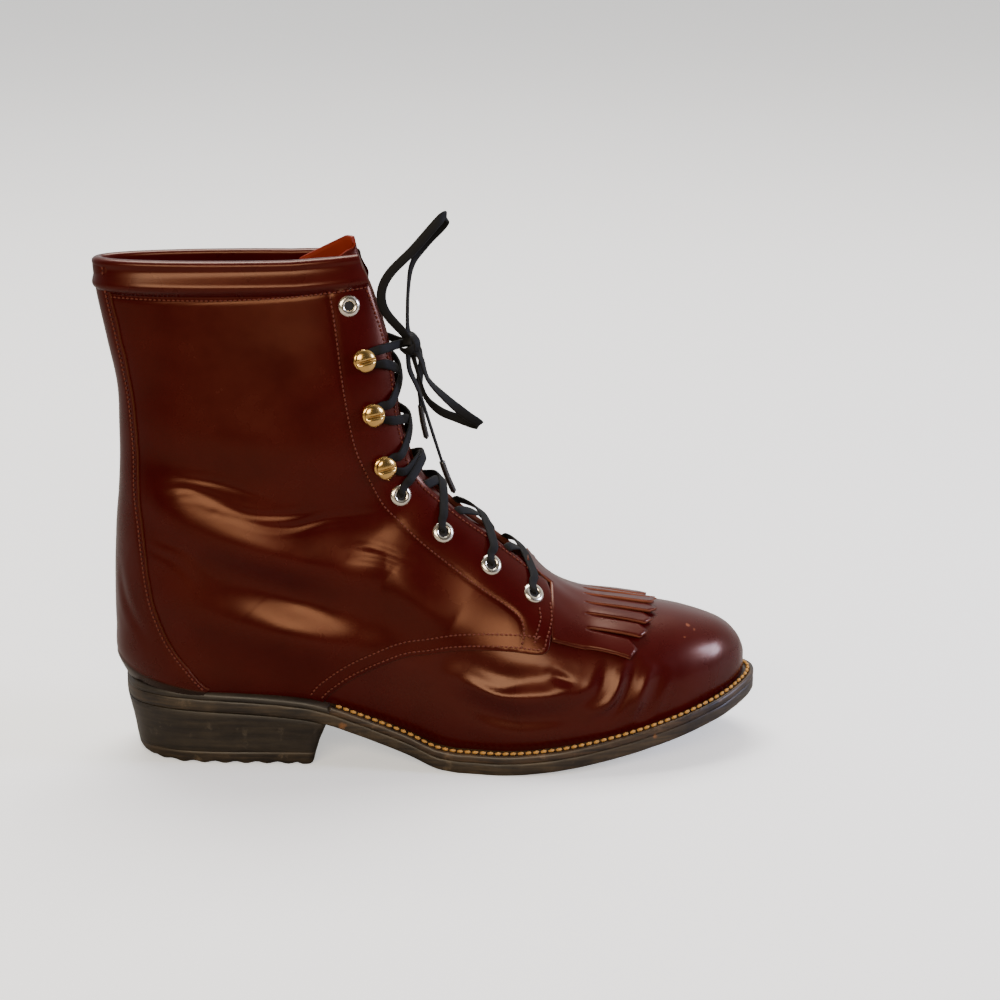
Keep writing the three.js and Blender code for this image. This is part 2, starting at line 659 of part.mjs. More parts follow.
function makeKiltie() {
  const rootX = section(THROAT_STATION).frontX + KILTIE_STEP;
  const neckX = rootX - KILTIE_NECK;
  const neckHalf = THROAT_HALF_GAP - 2 * CLEARANCE;
  const outline = [[neckX, -neckHalf], [rootX, -neckHalf], [rootX, -KILTIE_HALF_WIDTH]];
  const pitch = (2 * KILTIE_HALF_WIDTH) / KILTIE_STRIPS;
  const gap = SLIT_WIDTH / 2;
  for (let i = 0; i < KILTIE_STRIPS; i += 1) {
    const left = -KILTIE_HALF_WIDTH + i * pitch;
    const off = Math.abs((i + 0.5) / KILTIE_STRIPS - 0.5) * 2;
    const right = left + pitch;
    const tip = rootX + KILTIE_LENGTH * (1 - KILTIE_SHAPE.sideDrop * off ** 2);
    const slit = rootX + KILTIE_LENGTH * KILTIE_SHAPE.slitStart;
    const shoulder = tip - pitch * KILTIE_SHAPE.point;
    outline.push([shoulder, left + gap], [tip, left + pitch / 2], [shoulder, right - gap]);
    if (i + 1 < KILTIE_STRIPS) outline.push([slit, right - gap], [slit, right + gap]);
  }
  outline.push([rootX, KILTIE_HALF_WIDTH], [rootX, neckHalf], [neckX, neckHalf]);
  const sheet = form(CLEARANCE + KILTIE_THICKNESS).subtract(form(CLEARANCE));
  const quarters = form(QUARTER_STEP + CLEARANCE)
    .intersect(quarterPrism())
    .subtract(throatCut(THROAT_HALF_GAP - CLEARANCE));
  const kiltie = sheet.intersect(planPrism(outline, HEEL_SEAT, COLLAR_HEIGHT)).subtract(quarters);
  addNode('kiltie', toGeometry(kiltie), materials.oxblood);
}

function sideName(side) {
  return side < 0 ? 'lateral' : 'medial';
}

function makeEyelets() {
  const barrel = EYELET_HOLE + BARREL_WALL;
  const foot = -(WALL + QUARTER_STEP);
  const crown = (EYELET_RADIUS + EYELET_HOLE) / 2;
  const profile = [
    [EYELET_HOLE, foot], [barrel, foot], [barrel, 0], [EYELET_RADIUS, 0],
    [crown, EYELET_HEIGHT], [EYELET_HOLE, EYELET_HEIGHT / 2], [EYELET_HOLE, foot],
  ].map(([x, y]) => new THREE.Vector2(x, y));
  EYELET_STATIONS.forEach((station, i) => {
    for (const side of [-1, 1]) {
      const geometry = new THREE.LatheGeometry(profile, 8);
      geometry.rotateX(Math.PI / 2);
      geometry.applyMatrix4(frameAt(onFacing(station, side, EYELET_INSET), FACING_SEAT));
      addNode(`eyelet_${sideName(side)}_${i + 1}`, toGeometry(toSolid(geometry)), materials.nickel);
    }
  });
}

// A folded lacing hook: a base on the leather, a neck on the throat's side and a shorter cap over the lace
const CAP_SHARE = 0.7;

function makeHooks() {
  const front = HOOK_DEPTH / 2;
  const back = -HOOK_DEPTH / 2;
  const capBack = back * CAP_SHARE;
  const top = HOOK_HEIGHT;
  const profile = [
    [back, 0], [front, 0], [front, top], [capBack, top], [capBack, top - HOOK_METAL],
    [front - HOOK_METAL, top - HOOK_METAL], [front - HOOK_METAL, HOOK_METAL], [back, HOOK_METAL],
  ].map(([x, y]) => new THREE.Vector2(x, y));
  const shape = new THREE.Shape(profile);
  HOOK_STATIONS.forEach((station, i) => {
    for (const side of [-1, 1]) {
      const geometry = new THREE.ExtrudeGeometry(shape, { depth: HOOK_WIDTH, bevelEnabled: false });
      geometry.translate(0, 0, -HOOK_WIDTH / 2);
      const place = onFacing(station, side, EYELET_INSET);
      const axis = place.inwards.clone().cross(place.normal).normalize();
      const matrix = new THREE.Matrix4().makeBasis(place.inwards, place.normal, axis);
      matrix.setPosition(place.point.clone().addScaledVector(place.normal, FACING_SEAT));
      geometry.applyMatrix4(matrix);
      addNode(`hook_${sideName(side)}_${i + 1}`, toGeometry(toSolid(geometry)), materials.brass);
    }
  });
}

// Laces crossing the throat: run from one stop to the next, across as a share of the half way over
const CROSSING_ROUTE = table(['run', 'across'], [
  [0.15, 1],
  [0.3, 0.5],
  [0.5, 0],
  [0.7, -0.5],
  [0.85, -1],
]);
const CROSSING_SIDES = 6;

function makeCrossings() {
  const stops = [...EYELET_STATIONS.slice(0, 4), ...HOOK_STATIONS];
  const overKiltie = KILTIE_THICKNESS + 3 * CLEARANCE + LACE_RADIUS;
  const overFacings = QUARTER_STEP + CLEARANCE + LACE_RADIUS;
  const edge = THROAT_HALF_GAP + 1;
  const strand = (points) => toSolid(tube(points, LACE_RADIUS, CROSSING_ROUTE.length - 1, CROSSING_SIDES));
  const diagonal = (from, to, side, over) => strand(CROSSING_ROUTE.map(
    ({ run, across }) => onFront(from + run * (to - from), side * across * edge, over),
  ));
  const level = (station, over) => strand(CROSSING_ROUTE.map(({ across }) => onFront(station, across * edge, over)));
  for (let i = 0; i + 1 < stops.length; i += 1) {
    const over = i === 0 ? overKiltie : overFacings;
    const cross = diagonal(stops[i], stops[i + 1], -1, over).add(diagonal(stops[i], stops[i + 1], 1, over));
    addNode(`lace_crossing_${i + 1}`, toGeometry(cross), materials.lace);
  }
  addNode('lace_bottom_bar', toGeometry(level(stops[0], overKiltie)), materials.lace);
  addNode('lace_top_bar', toGeometry(level(TOP_BAR_STATION, overFacings)), materials.lace);
}

// The bow: knot, two loops and two ends, along routes chosen by hand in the boot's own frame
const KNOT = [138.1, -1, 197.6];
const LOOP_UP = [
  [137.6, -3, 200.1], [134.5, -4.5, 204.5], [127, -6, 214], [125.2, -7, 223], [129, -7, 232],
  [140, -6, 243], [150, -4, 254], [154.5, -1, 258], [154, 3, 253], [146, 5, 244], [139.5, 5, 234],
  [137.5, 4, 222], [137, 2.5, 207], [137.6, 0.8, 200.8],
];
const LOOP_DOWN = [
  [139.8, -3.4, 195.6], [143.3, -5.8, 191.2], [146.5, -8, 182], [155, -9, 173], [164, -8, 165],
  [170, -5, 160], [167.5, -1, 158.5], [160, 1, 161], [152, 1, 164.5], [145.5, 1, 171],
  [142.5, 0.3, 180], [140.4, -0.6, 188], [138.8, -0.4, 194.4],
];
const END_OUTER = [
  [137.8, 1.6, 195.3], [137.2, 5, 189.5], [137.8, 7.2, 183], [141, 8, 175], [144, 9, 166],
  [149, 12, 148.5], [154.5, 15, 130], [158.5, 17, 119.5],
];
const END_INNER = [
  [139.9, 1.2, 197.1], [142, 5.5, 193], [143, 9.5, 187.5], [142.5, 13, 178], [142.5, 16, 167],
  [143.5, 18, 156], [145.5, 19.5, 146],
];
const KNOT_SHAPE = [0.8, 1, 1.15];
const KNOT_GAP = 0.05;
const STEPS_BETWEEN = 1.25;

function makeBow() {
  const knot = (radius) => {
    const ball = new THREE.SphereGeometry(radius, 10, 7);
    ball.scale(...KNOT_SHAPE);
    ball.translate(...KNOT);
    return toSolid(ball);
  };
  addNode('lace_knot', toGeometry(knot(KNOT_RADIUS)), materials.lace, freeLaces);
  const routes = {
    lace_loop_up: LOOP_UP,
    lace_loop_down: LOOP_DOWN,
    lace_end_outer: END_OUTER,
    lace_end_inner: END_INNER,
  };
  for (const [name, route] of Object.entries(routes)) {
    const points = route.map((p) => new THREE.Vector3(...p));
    const lace = tube(points, LACE_RADIUS, Math.round(STEPS_BETWEEN * points.length));
    const solid = toSolid(lace).subtract(knot(KNOT_RADIUS + KNOT_GAP));
    addNode(name, toGeometry(solid), materials.lace, freeLaces);
  }
}

makeSole();
makeHeel();
makeInsole();
makeUpper();
makeOverlays();
makeTongue();
makeKiltie();
makeEyelets();
makeHooks();
makeCrossings();
makeBow();

// The origin goes under the middle of everything but the free laces
const bounds = new THREE.Box3().setFromObject(boot);
const middle = bounds.getCenter(new THREE.Vector3());
boot.add(freeLaces);
boot.position.set(-middle.x, -middle.y, -bounds.min.z);
boot.updateMatrixWorld(true);

const model = new THREE.Group();
model.add(boot);

export default model;
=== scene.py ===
"""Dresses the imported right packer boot: leather panels, seams, laces, sole and a plain studio stage."""
import math
import random

import bmesh
import bpy
import numpy as np
from mathutils import Matrix, Vector
from mathutils.kdtree import KDTree


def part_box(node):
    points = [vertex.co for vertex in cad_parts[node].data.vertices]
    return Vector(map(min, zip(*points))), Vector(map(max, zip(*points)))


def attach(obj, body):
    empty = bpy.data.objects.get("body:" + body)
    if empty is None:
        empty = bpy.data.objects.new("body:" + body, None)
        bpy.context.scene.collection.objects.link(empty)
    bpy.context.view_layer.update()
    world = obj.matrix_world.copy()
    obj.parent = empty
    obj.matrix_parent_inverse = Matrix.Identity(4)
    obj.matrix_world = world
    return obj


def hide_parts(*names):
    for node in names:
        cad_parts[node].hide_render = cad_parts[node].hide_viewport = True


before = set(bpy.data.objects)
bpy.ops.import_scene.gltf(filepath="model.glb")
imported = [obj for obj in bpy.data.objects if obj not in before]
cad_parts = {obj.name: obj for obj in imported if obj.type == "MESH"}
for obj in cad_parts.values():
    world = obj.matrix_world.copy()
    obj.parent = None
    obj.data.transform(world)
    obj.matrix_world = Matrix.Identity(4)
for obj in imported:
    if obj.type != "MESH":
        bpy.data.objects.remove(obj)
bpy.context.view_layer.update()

bl_info = {
    "name": "Packer boot",
    "version": (1, 0, 0),
    "blender": (4, 5, 0),
    "location": "View3D > Sidebar > Boot",
    "description": "Builds the visible pieces of a laced packer boot over its fixed frame",
    "category": "Object",
}

MM = 0.001

# Sole coordinates are millimetres from the heel's back, the foot's middle line and the ground
SHIFT = np.array([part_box("outsole")[0].x / MM, 0.0967, 0.0])

SOLE_LENGTH = 304
BALL_WIDTH = 102
WELT_REACH = 5
FOOT_WIDTH = BALL_WIDTH - 2 * WELT_REACH
OUTSOLE = 6
WELT = 3.8
EDGE = OUTSOLE + WELT
HEEL_LIFT = 29
HEEL_SEAT = HEEL_LIFT + EDGE
HEEL_LENGTH = 90
BREAST_RAKE = 7
HEEL_TAPER = 4
TREAD_START = 158
TREAD_END = 178
TOE_SPRING = 24
COLLAR = 239
COLLAR_PEAK = 1.5
UPPER_HEIGHT = COLLAR - HEEL_SEAT
ANKLE_WIDTH = 66
WALL = 2.2
QUARTER_STEP = 1.2
SEAT_GAP = 0.3
SINK = 11
THROAT_HALF = 9
EYELET_INSET = 12.5
HOOK_INSET = 14.3
LAST = 23

SHANK = np.array([
    (0, 0), (0.05, 0.04), (0.15, 0.27), (0.29, 0.56), (0.38, 0.73), (0.46, 0.83), (0.7, 0.94), (0.97, 0.995), (1.2, 1),
])
SOLE_OUTLINE = np.array([
    (0, 0), (0.007, 0.118), (0.026, 0.216), (0.072, 0.294), (0.138, 0.328), (0.217, 0.336),
    (0.283, 0.333), (0.349, 0.324), (0.431, 0.338), (0.513, 0.392), (0.595, 0.461), (0.661, 0.495),
    (0.697, 0.503), (0.76, 0.497), (0.826, 0.461), (0.882, 0.402), (0.938, 0.324), (0.972, 0.235),
    (0.992, 0.147), (1, 0.049), (0.994, -0.044), (0.975, -0.137), (0.941, -0.245), (0.885, -0.35),
    (0.826, -0.42), (0.76, -0.471), (0.697, -0.5), (0.661, -0.505), (0.595, -0.493), (0.513, -0.446),
    (0.431, -0.397), (0.349, -0.368), (0.283, -0.353), (0.217, -0.341), (0.138, -0.328),
    (0.072, -0.294), (0.026, -0.216), (0.007, -0.118),
])

# Foot sections: rear x, front x, front height, lateral, medial, middle, widest share, rear and front roundness
FOOT_SECTIONS = [
    (0.983, 0.983, 0.044, 0.011, 0.011, 0.054, 0.4, 3, 2.2),
    (0.98, 0.98, 0.063, 0.061, 0.061, 0.054, 0.4, 3, 2.2),
    (0.97, 0.971, 0.094, 0.133, 0.133, 0.054, 0.38, 3.4, 2.2),
    (0.951, 0.952, 0.13, 0.209, 0.209, 0.05, 0.36, 3.6, 2.2),
    (0.918, 0.924, 0.162, 0.286, 0.286, 0.041, 0.35, 4, 2.2),
    (0.865, 0.872, 0.205, 0.376, 0.376, 0.03, 0.34, 4, 2.2),
    (0.783, 0.796, 0.251, 0.465, 0.465, 0.02, 0.34, 4, 2.1),
    (0.684, 0.711, 0.302, 0.503, 0.5, 0.009, 0.34, 4, 2),
    (0.605, 0.665, 0.354, 0.492, 0.462, 0, 0.34, 4, 1.9),
    (0.513, 0.622, 0.426, 0.442, 0.397, 0, 0.34, 4, 1.8),
    (0.401, 0.576, 0.494, 0.389, 0.342, 0, 0.35, 4, 1.8),
    (0.276, 0.533, 0.547, 0.37, 0.354, 0, 0.35, 4, 1.85),
]

# Shaft sections: rear x, rear height, front x, front height, half width, widest share, rear and front roundness
SHAFT_SECTIONS = [
    (0.151, None, 0.503, 0.448, 0.509, 0.33, 3.8, 1.9),
    (0.053, None, 0.487, 0.478, 0.503, 0.31, 3, 1.9),
    (-0.001, 0.035, 0.475, 0.505, 0.491, 0.33, 2.2, 1.9),
    (-0.005, 0.125, 0.464, 0.54, 0.482, 0.35, 2.2, 1.9),
    (-0.004, 0.245, 0.454, 0.58, 0.467, 0.38, 2.2, 2),
    (0, 0.355, 0.446, 0.63, 0.448, 0.42, 2.2, 2),
    (0.009, 0.47, 0.439, 0.69, 0.418, 0.45, 2.2, 2),
    (0.013, 0.595, 0.431, 0.755, 0.379, 0.47, 2.2, 2.1),
    (0.013, 0.705, 0.421, 0.828, 0.333, 0.48, 2.2, 2.1),
    (0, 0.82, 0.408, 0.91, 0.279, 0.49, 2.2, 2.1),
    (-0.014, 0.945, 0.393, 0.995, 0.23, 0.5, 2.2, 2.1),
    (-0.018, 1.055, 0.38, 1.085, 0.203, 0.5, 2.2, 2.1),
]

QUARTER_EDGE = [
    (0.628, 0.62), (0.64, 0.4), (0.66, 0.355), (0.671, 0.316), (0.673, 0.285), (0.665, 0.25), (0.655, 0.225),
    (0.611, 0.236), (0.565, 0.241), (0.519, 0.24), (0.48, 0.22), (0.441, 0.185), (0.403, 0.142),
    (0.368, 0.097), (0.34, 0.053), (0.316, 0.007), (0.3, -0.06),
]
STRAP_EDGE = [
    (0.004, 0.99), (0.007, 0.933), (0.022, 0.818), (0.037, 0.679), (0.041, 0.562), (0.043, 0.446),
    (0.049, 0.33), (0.058, 0.213), (0.079, 0.118), (0.109, 0.052), (0.131, 0.013), (0.16, -0.03),
]
EYELET_STATIONS = [8.4, 9.66, 11.1, 13.6, 20.97]
HOOK_STATIONS = [15.5, 17.7, 19.46]

LATERAL, MEDIAL = -1, 1
SIDES = {"lateral": LATERAL, "medial": MEDIAL}


# ---- shared forms ---------------------------------------------------------------------------------------------


def catmull(rows, at):
    """Smooth values at fractional row numbers."""
    rows = np.asarray(rows, float)
    at = np.asarray(at, float)
    i = np.clip(np.floor(at).astype(int), 0, len(rows) - 2)
    t = (at - i)[..., None]
    before = np.where((i > 0)[..., None], rows[np.maximum(i - 1, 0)], 2 * rows[i] - rows[i + 1])
    past = i + 2 <= len(rows) - 1
    after = np.where(past[..., None], rows[np.minimum(i + 2, len(rows) - 1)], 2 * rows[i + 1] - rows[i])
    a, b = rows[i], rows[i + 1]
    return 0.5 * (2 * a + (b - before) * t + (2 * before - 5 * a + 4 * b - after) * t**2
                  + (3 * a - before - 3 * b + after) * t**3)


def shank_rise(share):
    xs, ys = SHANK[:, 0], SHANK[:, 1]
    slopes = np.diff(ys) / np.diff(xs)
    inner = [2 * a * b / (a + b) if a * b > 0 else 0 for a, b in zip(slopes[:-1], slopes[1:])]
    tangents = np.array([slopes[0], *inner, slopes[-1]])
    i = np.clip(np.searchsorted(xs, share, side="right") - 1, 0, len(xs) - 2)
    h = xs[i + 1] - xs[i]
    t = np.clip((share - xs[i]) / h, 0, 1)
    s = 1 - t
    return (ys[i] * (1 + 2 * t) * s * s + tangents[i] * h * t * s * s
            + ys[i + 1] * t * t * (3 - 2 * t) + tangents[i + 1] * h * t * t * (t - 1))


def underside(x):
    """Height of the outsole's underside."""
    x = np.asarray(x, float)
    spring = TOE_SPRING * np.clip((x - TREAD_END) / (SOLE_LENGTH - TREAD_END), 0, None) ** 1.5
    rise = HEEL_LIFT * shank_rise(np.clip((TREAD_START - x) / TREAD_START, 0, None))
    return np.where(x > TREAD_END, spring, np.where(x >= TREAD_START, 0, rise))


def feather(x):
    """Height at which the upper stands on the welt."""
    return underside(x) + EDGE + SEAT_GAP


def control_rows():
    rows = []
    for rear_x, front_x, front_z, lateral, medial, mid, full, rear_round, front_round in FOOT_SECTIONS:
        rows.append((
            rear_x * SOLE_LENGTH, feather(rear_x * SOLE_LENGTH) - SINK, front_x * SOLE_LENGTH,
            feather(front_x * SOLE_LENGTH) + front_z * UPPER_HEIGHT, lateral * FOOT_WIDTH, medial * FOOT_WIDTH,
            mid * FOOT_WIDTH, full, rear_round, front_round,
        ))
    for rear_x, rear_z, front_x, front_z, width, full, rear_round, front_round in SHAFT_SECTIONS:
        under = feather(rear_x * SOLE_LENGTH) - SINK
        rows.append((
            rear_x * SOLE_LENGTH, under if rear_z is None else HEEL_SEAT + rear_z * UPPER_HEIGHT,
            front_x * SOLE_LENGTH, HEEL_SEAT + front_z * UPPER_HEIGHT, width * ANKLE_WIDTH, width * ANKLE_WIDTH,
            0, full, rear_round, front_round,
        ))
    return np.array(rows, float)


ROWS = control_rows()


def unit(vectors):
    return vectors / np.maximum(np.linalg.norm(vectors, axis=-1, keepdims=True), 1e-12)


class Skin:
    """The form of foot and shaft on one side: stations by shares of the way from front ridge to rear."""

    def __init__(self, side, stations=323, around=161):
        self.side = side
        self.stations = np.linspace(0, LAST, stations)
        self.around = np.linspace(0, 1, around)
        rows = catmull(ROWS, self.stations)
        turn = np.linspace(0, np.pi, 700)
        along = np.cos(turn)[None, :]
        across = np.sin(turn)[None, :]
        pick = np.where(along < 0, rows[:, 8:9], rows[:, 9:10])
        reach = np.abs(along) ** (2 / pick)
        full = rows[:, 7:8]
        share = np.where(along < 0, full * (1 - reach), full + (1 - full) * reach)
        half = np.maximum(rows[:, 4:5] if side < 0 else rows[:, 5:6], 0.2)
        x = rows[:, 0:1] + (rows[:, 2:3] - rows[:, 0:1]) * share
        z = rows[:, 1:2] + (rows[:, 3:4] - rows[:, 1:2]) * share
        y = rows[:, 6:7] + side * np.abs(across) ** (2 / pick) * half
        dense = np.stack([x, y, z], -1)
        steps = np.linalg.norm(np.diff(dense, axis=1), axis=-1)
        walked = np.concatenate([np.zeros((stations, 1)), np.cumsum(steps, 1)], 1)
        self.length = walked[:, -1]
        points = np.empty((stations, around, 3))
        for j in range(stations):
            for k in range(3):
                points[j, :, k] = np.interp(self.around * self.length[j], walked[j], dense[j, :, k])
        self.points = points
        along_ring = np.gradient(points, axis=1)
        up_boot = np.gradient(points, axis=0)
        normal = unit(np.cross(along_ring, up_boot)) * side
        flip = (normal[:, around // 2, 1] * side < 0)[:, None, None]
        self.normals = np.where(flip, -normal, normal)
        self.normals[:, 0, 1] = 0
        self.normals[:, -1, 1] = 0
        self.normals = unit(self.normals)
        self.find = KDTree(points.shape[0] * points.shape[1])
        for index, (px, _, pz) in enumerate(points.reshape(-1, 3)):
            self.find.insert((px, pz, 0), index)
        self.find.balance()

    def sample(self, table, station, share):
        fs = np.clip(np.asarray(station) / LAST, 0, 1) * (len(self.stations) - 1)
        fa = np.clip(np.asarray(share), 0, 1) * (len(self.around) - 1)
        i = np.minimum(fs.astype(int), len(self.stations) - 2)
        j = np.minimum(fa.astype(int), len(self.around) - 2)
        ts, ta = (fs - i)[..., None], (fa - j)[..., None]
        return ((table[i, j] * (1 - ts) + table[i + 1, j] * ts) * (1 - ta)
                + (table[i, j + 1] * (1 - ts) + table[i + 1, j + 1] * ts) * ta)

    def at(self, station, share):
        return self.sample(self.points, station, share), unit(self.sample(self.normals, station, share))

    def share_at_width(self, station, width):
        """Share of the way round at which the skin is a given distance from its middle line."""
        line = self.sample(self.points, np.full(len(self.around), station), self.around)
        off = np.abs(line[:, 1])
        top = int(np.argmax(off))
        return float(np.interp(width, off[:top + 1], self.around[:top + 1]))

    def share_at_feather(self, station, drop):
        """Share of the way round at which the skin meets the sole, or 1 where it doesn't."""
        line = self.sample(self.points, np.full(len(self.around), station), self.around)
        below = line[:, 2] < feather(line[:, 0]) - drop
        return float(self.around[int(np.argmax(below))]) if below.any() else 1.0

    def on(self, line):
        """Points and normals on the skin under a side view line of x and z."""
        points, normals = [], []
        for x, z in line:
            _, index, _ = self.find.find((x, z, 0))
            p = self.points.reshape(-1, 3)[index]
            n = self.normals.reshape(-1, 3)[index]
            y = p[1]
            if abs(n[1]) > 0.15:
                y -= (n[0] * (x - p[0]) + n[2] * (z - p[2])) / n[1]
            points.append((x, y, z))
            normals.append(n)
        return np.array(points), np.array(normals)


SKIN = {}


def skin_of(side):
    if side not in SKIN:
        SKIN[side] = Skin(side)
    return SKIN[side]


def walk(points):
    """Way walked along a line up to each of its points."""
    return np.concatenate([[0], np.cumsum(np.linalg.norm(np.diff(points, axis=0), axis=1))])


def places_at(at, walked, line):
    """Places on a line at given ways along it."""
    return np.stack([np.interp(at, walked, line[:, k]) for k in range(line.shape[1])], -1)


def smooth_line(points, step=1.0):
    """A smooth line through points, resampled at even steps."""
    points = np.asarray(points, float)
    dense = catmull(points, np.linspace(0, len(points) - 1, 40 * (len(points) - 1) + 1))
    walked = walk(dense)
    count = max(int(round(walked[-1] / step)), 1)
    at = np.linspace(0, walked[-1], count + 1)
    return places_at(at, walked, dense)


def nearest(points, line):
    """For each point: distance to a line, the closest place, the way along it in shares, and its segment."""
    a, b = line[:-1], line[1:]
    seg = b - a
    long = np.maximum((seg**2).sum(-1), 1e-12)
    best = np.full(len(points), 1e9)
    close = np.zeros_like(points)
    share = np.zeros(len(points))
    which = np.zeros(len(points), int)
    for k in range(len(seg)):
        t = np.clip(((points - a[k]) @ seg[k]) / long[k], 0, 1)
        c = a[k] + t[:, None] * seg[k]
        d = ((points - c) ** 2).sum(-1)
        better = d < best
        best[better] = d[better]
        close[better] = c[better]
        share[better] = (k + t[better]) / len(seg)
        which[better] = k
    return np.sqrt(best), close, share, which


def above_feather(line):
    return [(x * SOLE_LENGTH, float(feather(x * SOLE_LENGTH)) + z * UPPER_HEIGHT) for x, z in line]


def above_heel(line):
    return [(x * SOLE_LENGTH, HEEL_SEAT + z * UPPER_HEIGHT) for x, z in line]


def collar_height(x):
    front = 0.393 * SOLE_LENGTH
    share = np.clip((np.asarray(x) - 0.7 * front) / (0.3 * front), 0, 1)
    return COLLAR + COLLAR_PEAK * share


# ---- meshes ---------------------------------------------------------------------------------------------------


def to_row(points):
    return (np.asarray(points, float) + SHIFT) * MM


def new_piece(name, bm, material, replaced=(), smooth=True, sharp=None):
    mesh = bpy.data.meshes.new(name)
    bm.to_mesh(mesh)
    bm.free()
    piece = bpy.data.objects.new(name, mesh)
    bpy.context.scene.collection.objects.link(piece)
    for item in material if isinstance(material, (list, tuple)) else [material]:
        mesh.materials.append(item)
    if smooth:
        mesh.shade_smooth()
    if sharp:
        mesh.set_sharp_from_angle(angle=math.radians(sharp))
    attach(piece, "root")
    if replaced:
        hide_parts(*replaced)
    return piece


def add_grid(bm, points, uv=None):
    """A sheet of vertices placed at an array of points, rows by columns."""
    rows, columns = points.shape[:2]
    made = bmesh.ops.create_grid(bm, x_segments=columns - 1, y_segments=rows - 1, size=1)["verts"]
    layer = bm.loops.layers.uv.verify() if uv is not None else None
    table = {}
    for v in made:
        i = round((v.co.y + 1) / 2 * (rows - 1))
        j = round((v.co.x + 1) / 2 * (columns - 1))
        table[v] = (i, j)
    placed = to_row(points)
    if layer is not None:
        for v in made:
            for loop in v.link_loops:
                loop[layer].uv = uv[table[v]]
    for v, (i, j) in table.items():
        v.co = placed[i, j]
    return table


def face_way(bm, way):
    """Turns the faces of an open sheet so that most of them look one way."""
    bmesh.ops.recalc_face_normals(bm, faces=bm.faces)
    total = sum((f.normal * f.calc_area() for f in bm.faces), Vector())
    if total.dot(Vector(way)) < 0:
        bmesh.ops.reverse_faces(bm, faces=bm.faces)


def thicken(piece, thickness, rim=1):
    """Gives a sheet its thickness below its faces, with its own material on the cut edge."""
    solid = piece.modifiers.new("Thickness", "SOLIDIFY")
    solid.thickness = thickness * MM
    solid.offset = -1
    solid.material_offset_rim = rim


def close_seams(bm, distance=0.02):
    bmesh.ops.remove_doubles(bm, verts=bm.verts, dist=distance * MM)


def face_out(bm):
    bmesh.ops.recalc_face_normals(bm, faces=bm.faces)


def sweep(bm, path, widths, thickness, flats, around=12, squareness=3.0):
    """A flat or round strand along a path; flats are the directions across its width."""
    path = np.asarray(path, float)
    along = unit(np.gradient(path, axis=0))
    flats = unit(flats - (flats * along).sum(-1, keepdims=True) * along)
    thick = np.cross(along, flats)
    turn = np.linspace(0, 2 * np.pi, around + 1)
    across = np.sign(np.cos(turn)) * np.abs(np.cos(turn)) ** (2 / squareness)
    up = np.sign(np.sin(turn)) * np.abs(np.sin(turn)) ** (2 / squareness)
    widths = np.broadcast_to(np.asarray(widths, float), len(path))
    thickness = np.broadcast_to(np.asarray(thickness, float), len(path))
    rings = (path[:, None, :] + flats[:, None, :] * (across[None, :] * widths[:, None] / 2)[..., None]
             + thick[:, None, :] * (up[None, :] * thickness[:, None] / 2)[..., None])
    walked = walk(path)
    uv = np.stack(np.broadcast_arrays(np.linspace(0, 1, around + 1)[None, :], walked[:, None] * MM * 100), -1)
    bmesh.ops.remove_doubles(bm, verts=list(add_grid(bm, rings, uv)), dist=0.001 * MM)


def close_ends(bm):
    bmesh.ops.holes_fill(bm, edges=[e for e in bm.edges if e.is_boundary], sides=0)
    face_out(bm)


# ---- materials ------------------------------------------------------------------------------------------------


def node(tree, kind, inputs=None, **settings):
    made = tree.nodes.new(kind)
    for key, value in settings.items():
        setattr(made, key, value)
    for key, value in (inputs or {}).items():
        if isinstance(value, bpy.types.NodeSocket):
            tree.links.new(value, made.inputs[key])
        else:
            made.inputs[key].default_value = value
    return made


def object_place(tree):
    return node(tree, "ShaderNodeTexCoord").outputs["Object"]


def group(name, inputs, outputs):
    tree = bpy.data.node_groups.new(name, "ShaderNodeTree")
    for label, kind, value in inputs:
        socket = tree.interface.new_socket(label, in_out="INPUT", socket_type=kind)
        socket.default_value = value
    for label, kind in outputs:
        tree.interface.new_socket(label, in_out="OUTPUT", socket_type=kind)
    return tree, node(tree, "NodeGroupInput"), node(tree, "NodeGroupOutput")


def place_group(tree, shared, **inputs):
    made = node(tree, "ShaderNodeGroup", node_tree=shared)
    for key, value in inputs.items():
        socket = made.inputs[key.replace("_", " ")]
        if isinstance(value, bpy.types.NodeSocket):
            tree.links.new(value, socket)
        else:
            socket.default_value = value
    return made


def grain_group():
    """Fine pores and a broad swell of finished leather."""
    tree, given, out = group(
        "Leather grain",
        [("Scale", "NodeSocketFloat", 1.0), ("Relief", "NodeSocketFloat", 1.0)],
        [("Height", "NodeSocketFloat"), ("Tone", "NodeSocketFloat")],
    )
    place = object_place(tree)
    size = node(tree, "ShaderNodeMath", {0: given.outputs["Scale"], 1: 900.0}, operation="MULTIPLY")
    pores = node(tree, "ShaderNodeTexVoronoi", {"Vector": place, "Scale": size.outputs[0], "Randomness": 1.0},
                 feature="DISTANCE_TO_EDGE")
    soft = node(tree, "ShaderNodeMath", {0: pores.outputs["Distance"], 1: 0.5}, operation="MINIMUM")
    fine = node(tree, "ShaderNodeTexNoise", {"Vector": place, "Scale": 420.0, "Detail": 2.0, "Roughness": 0.5})
    broad = node(tree, "ShaderNodeTexNoise", {"Vector": place, "Scale": 38.0, "Detail": 5.0, "Roughness": 0.55})
    mix = node(tree, "ShaderNodeMath", {0: soft.outputs[0], 1: fine.outputs["Fac"]}, operation="ADD")
    lift = node(tree, "ShaderNodeMath", {0: mix.outputs[0], 1: given.outputs["Relief"]}, operation="MULTIPLY")
    tree.links.new(lift.outputs[0], out.inputs["Height"])
    tree.links.new(broad.outputs["Fac"], out.inputs["Tone"])
    return tree


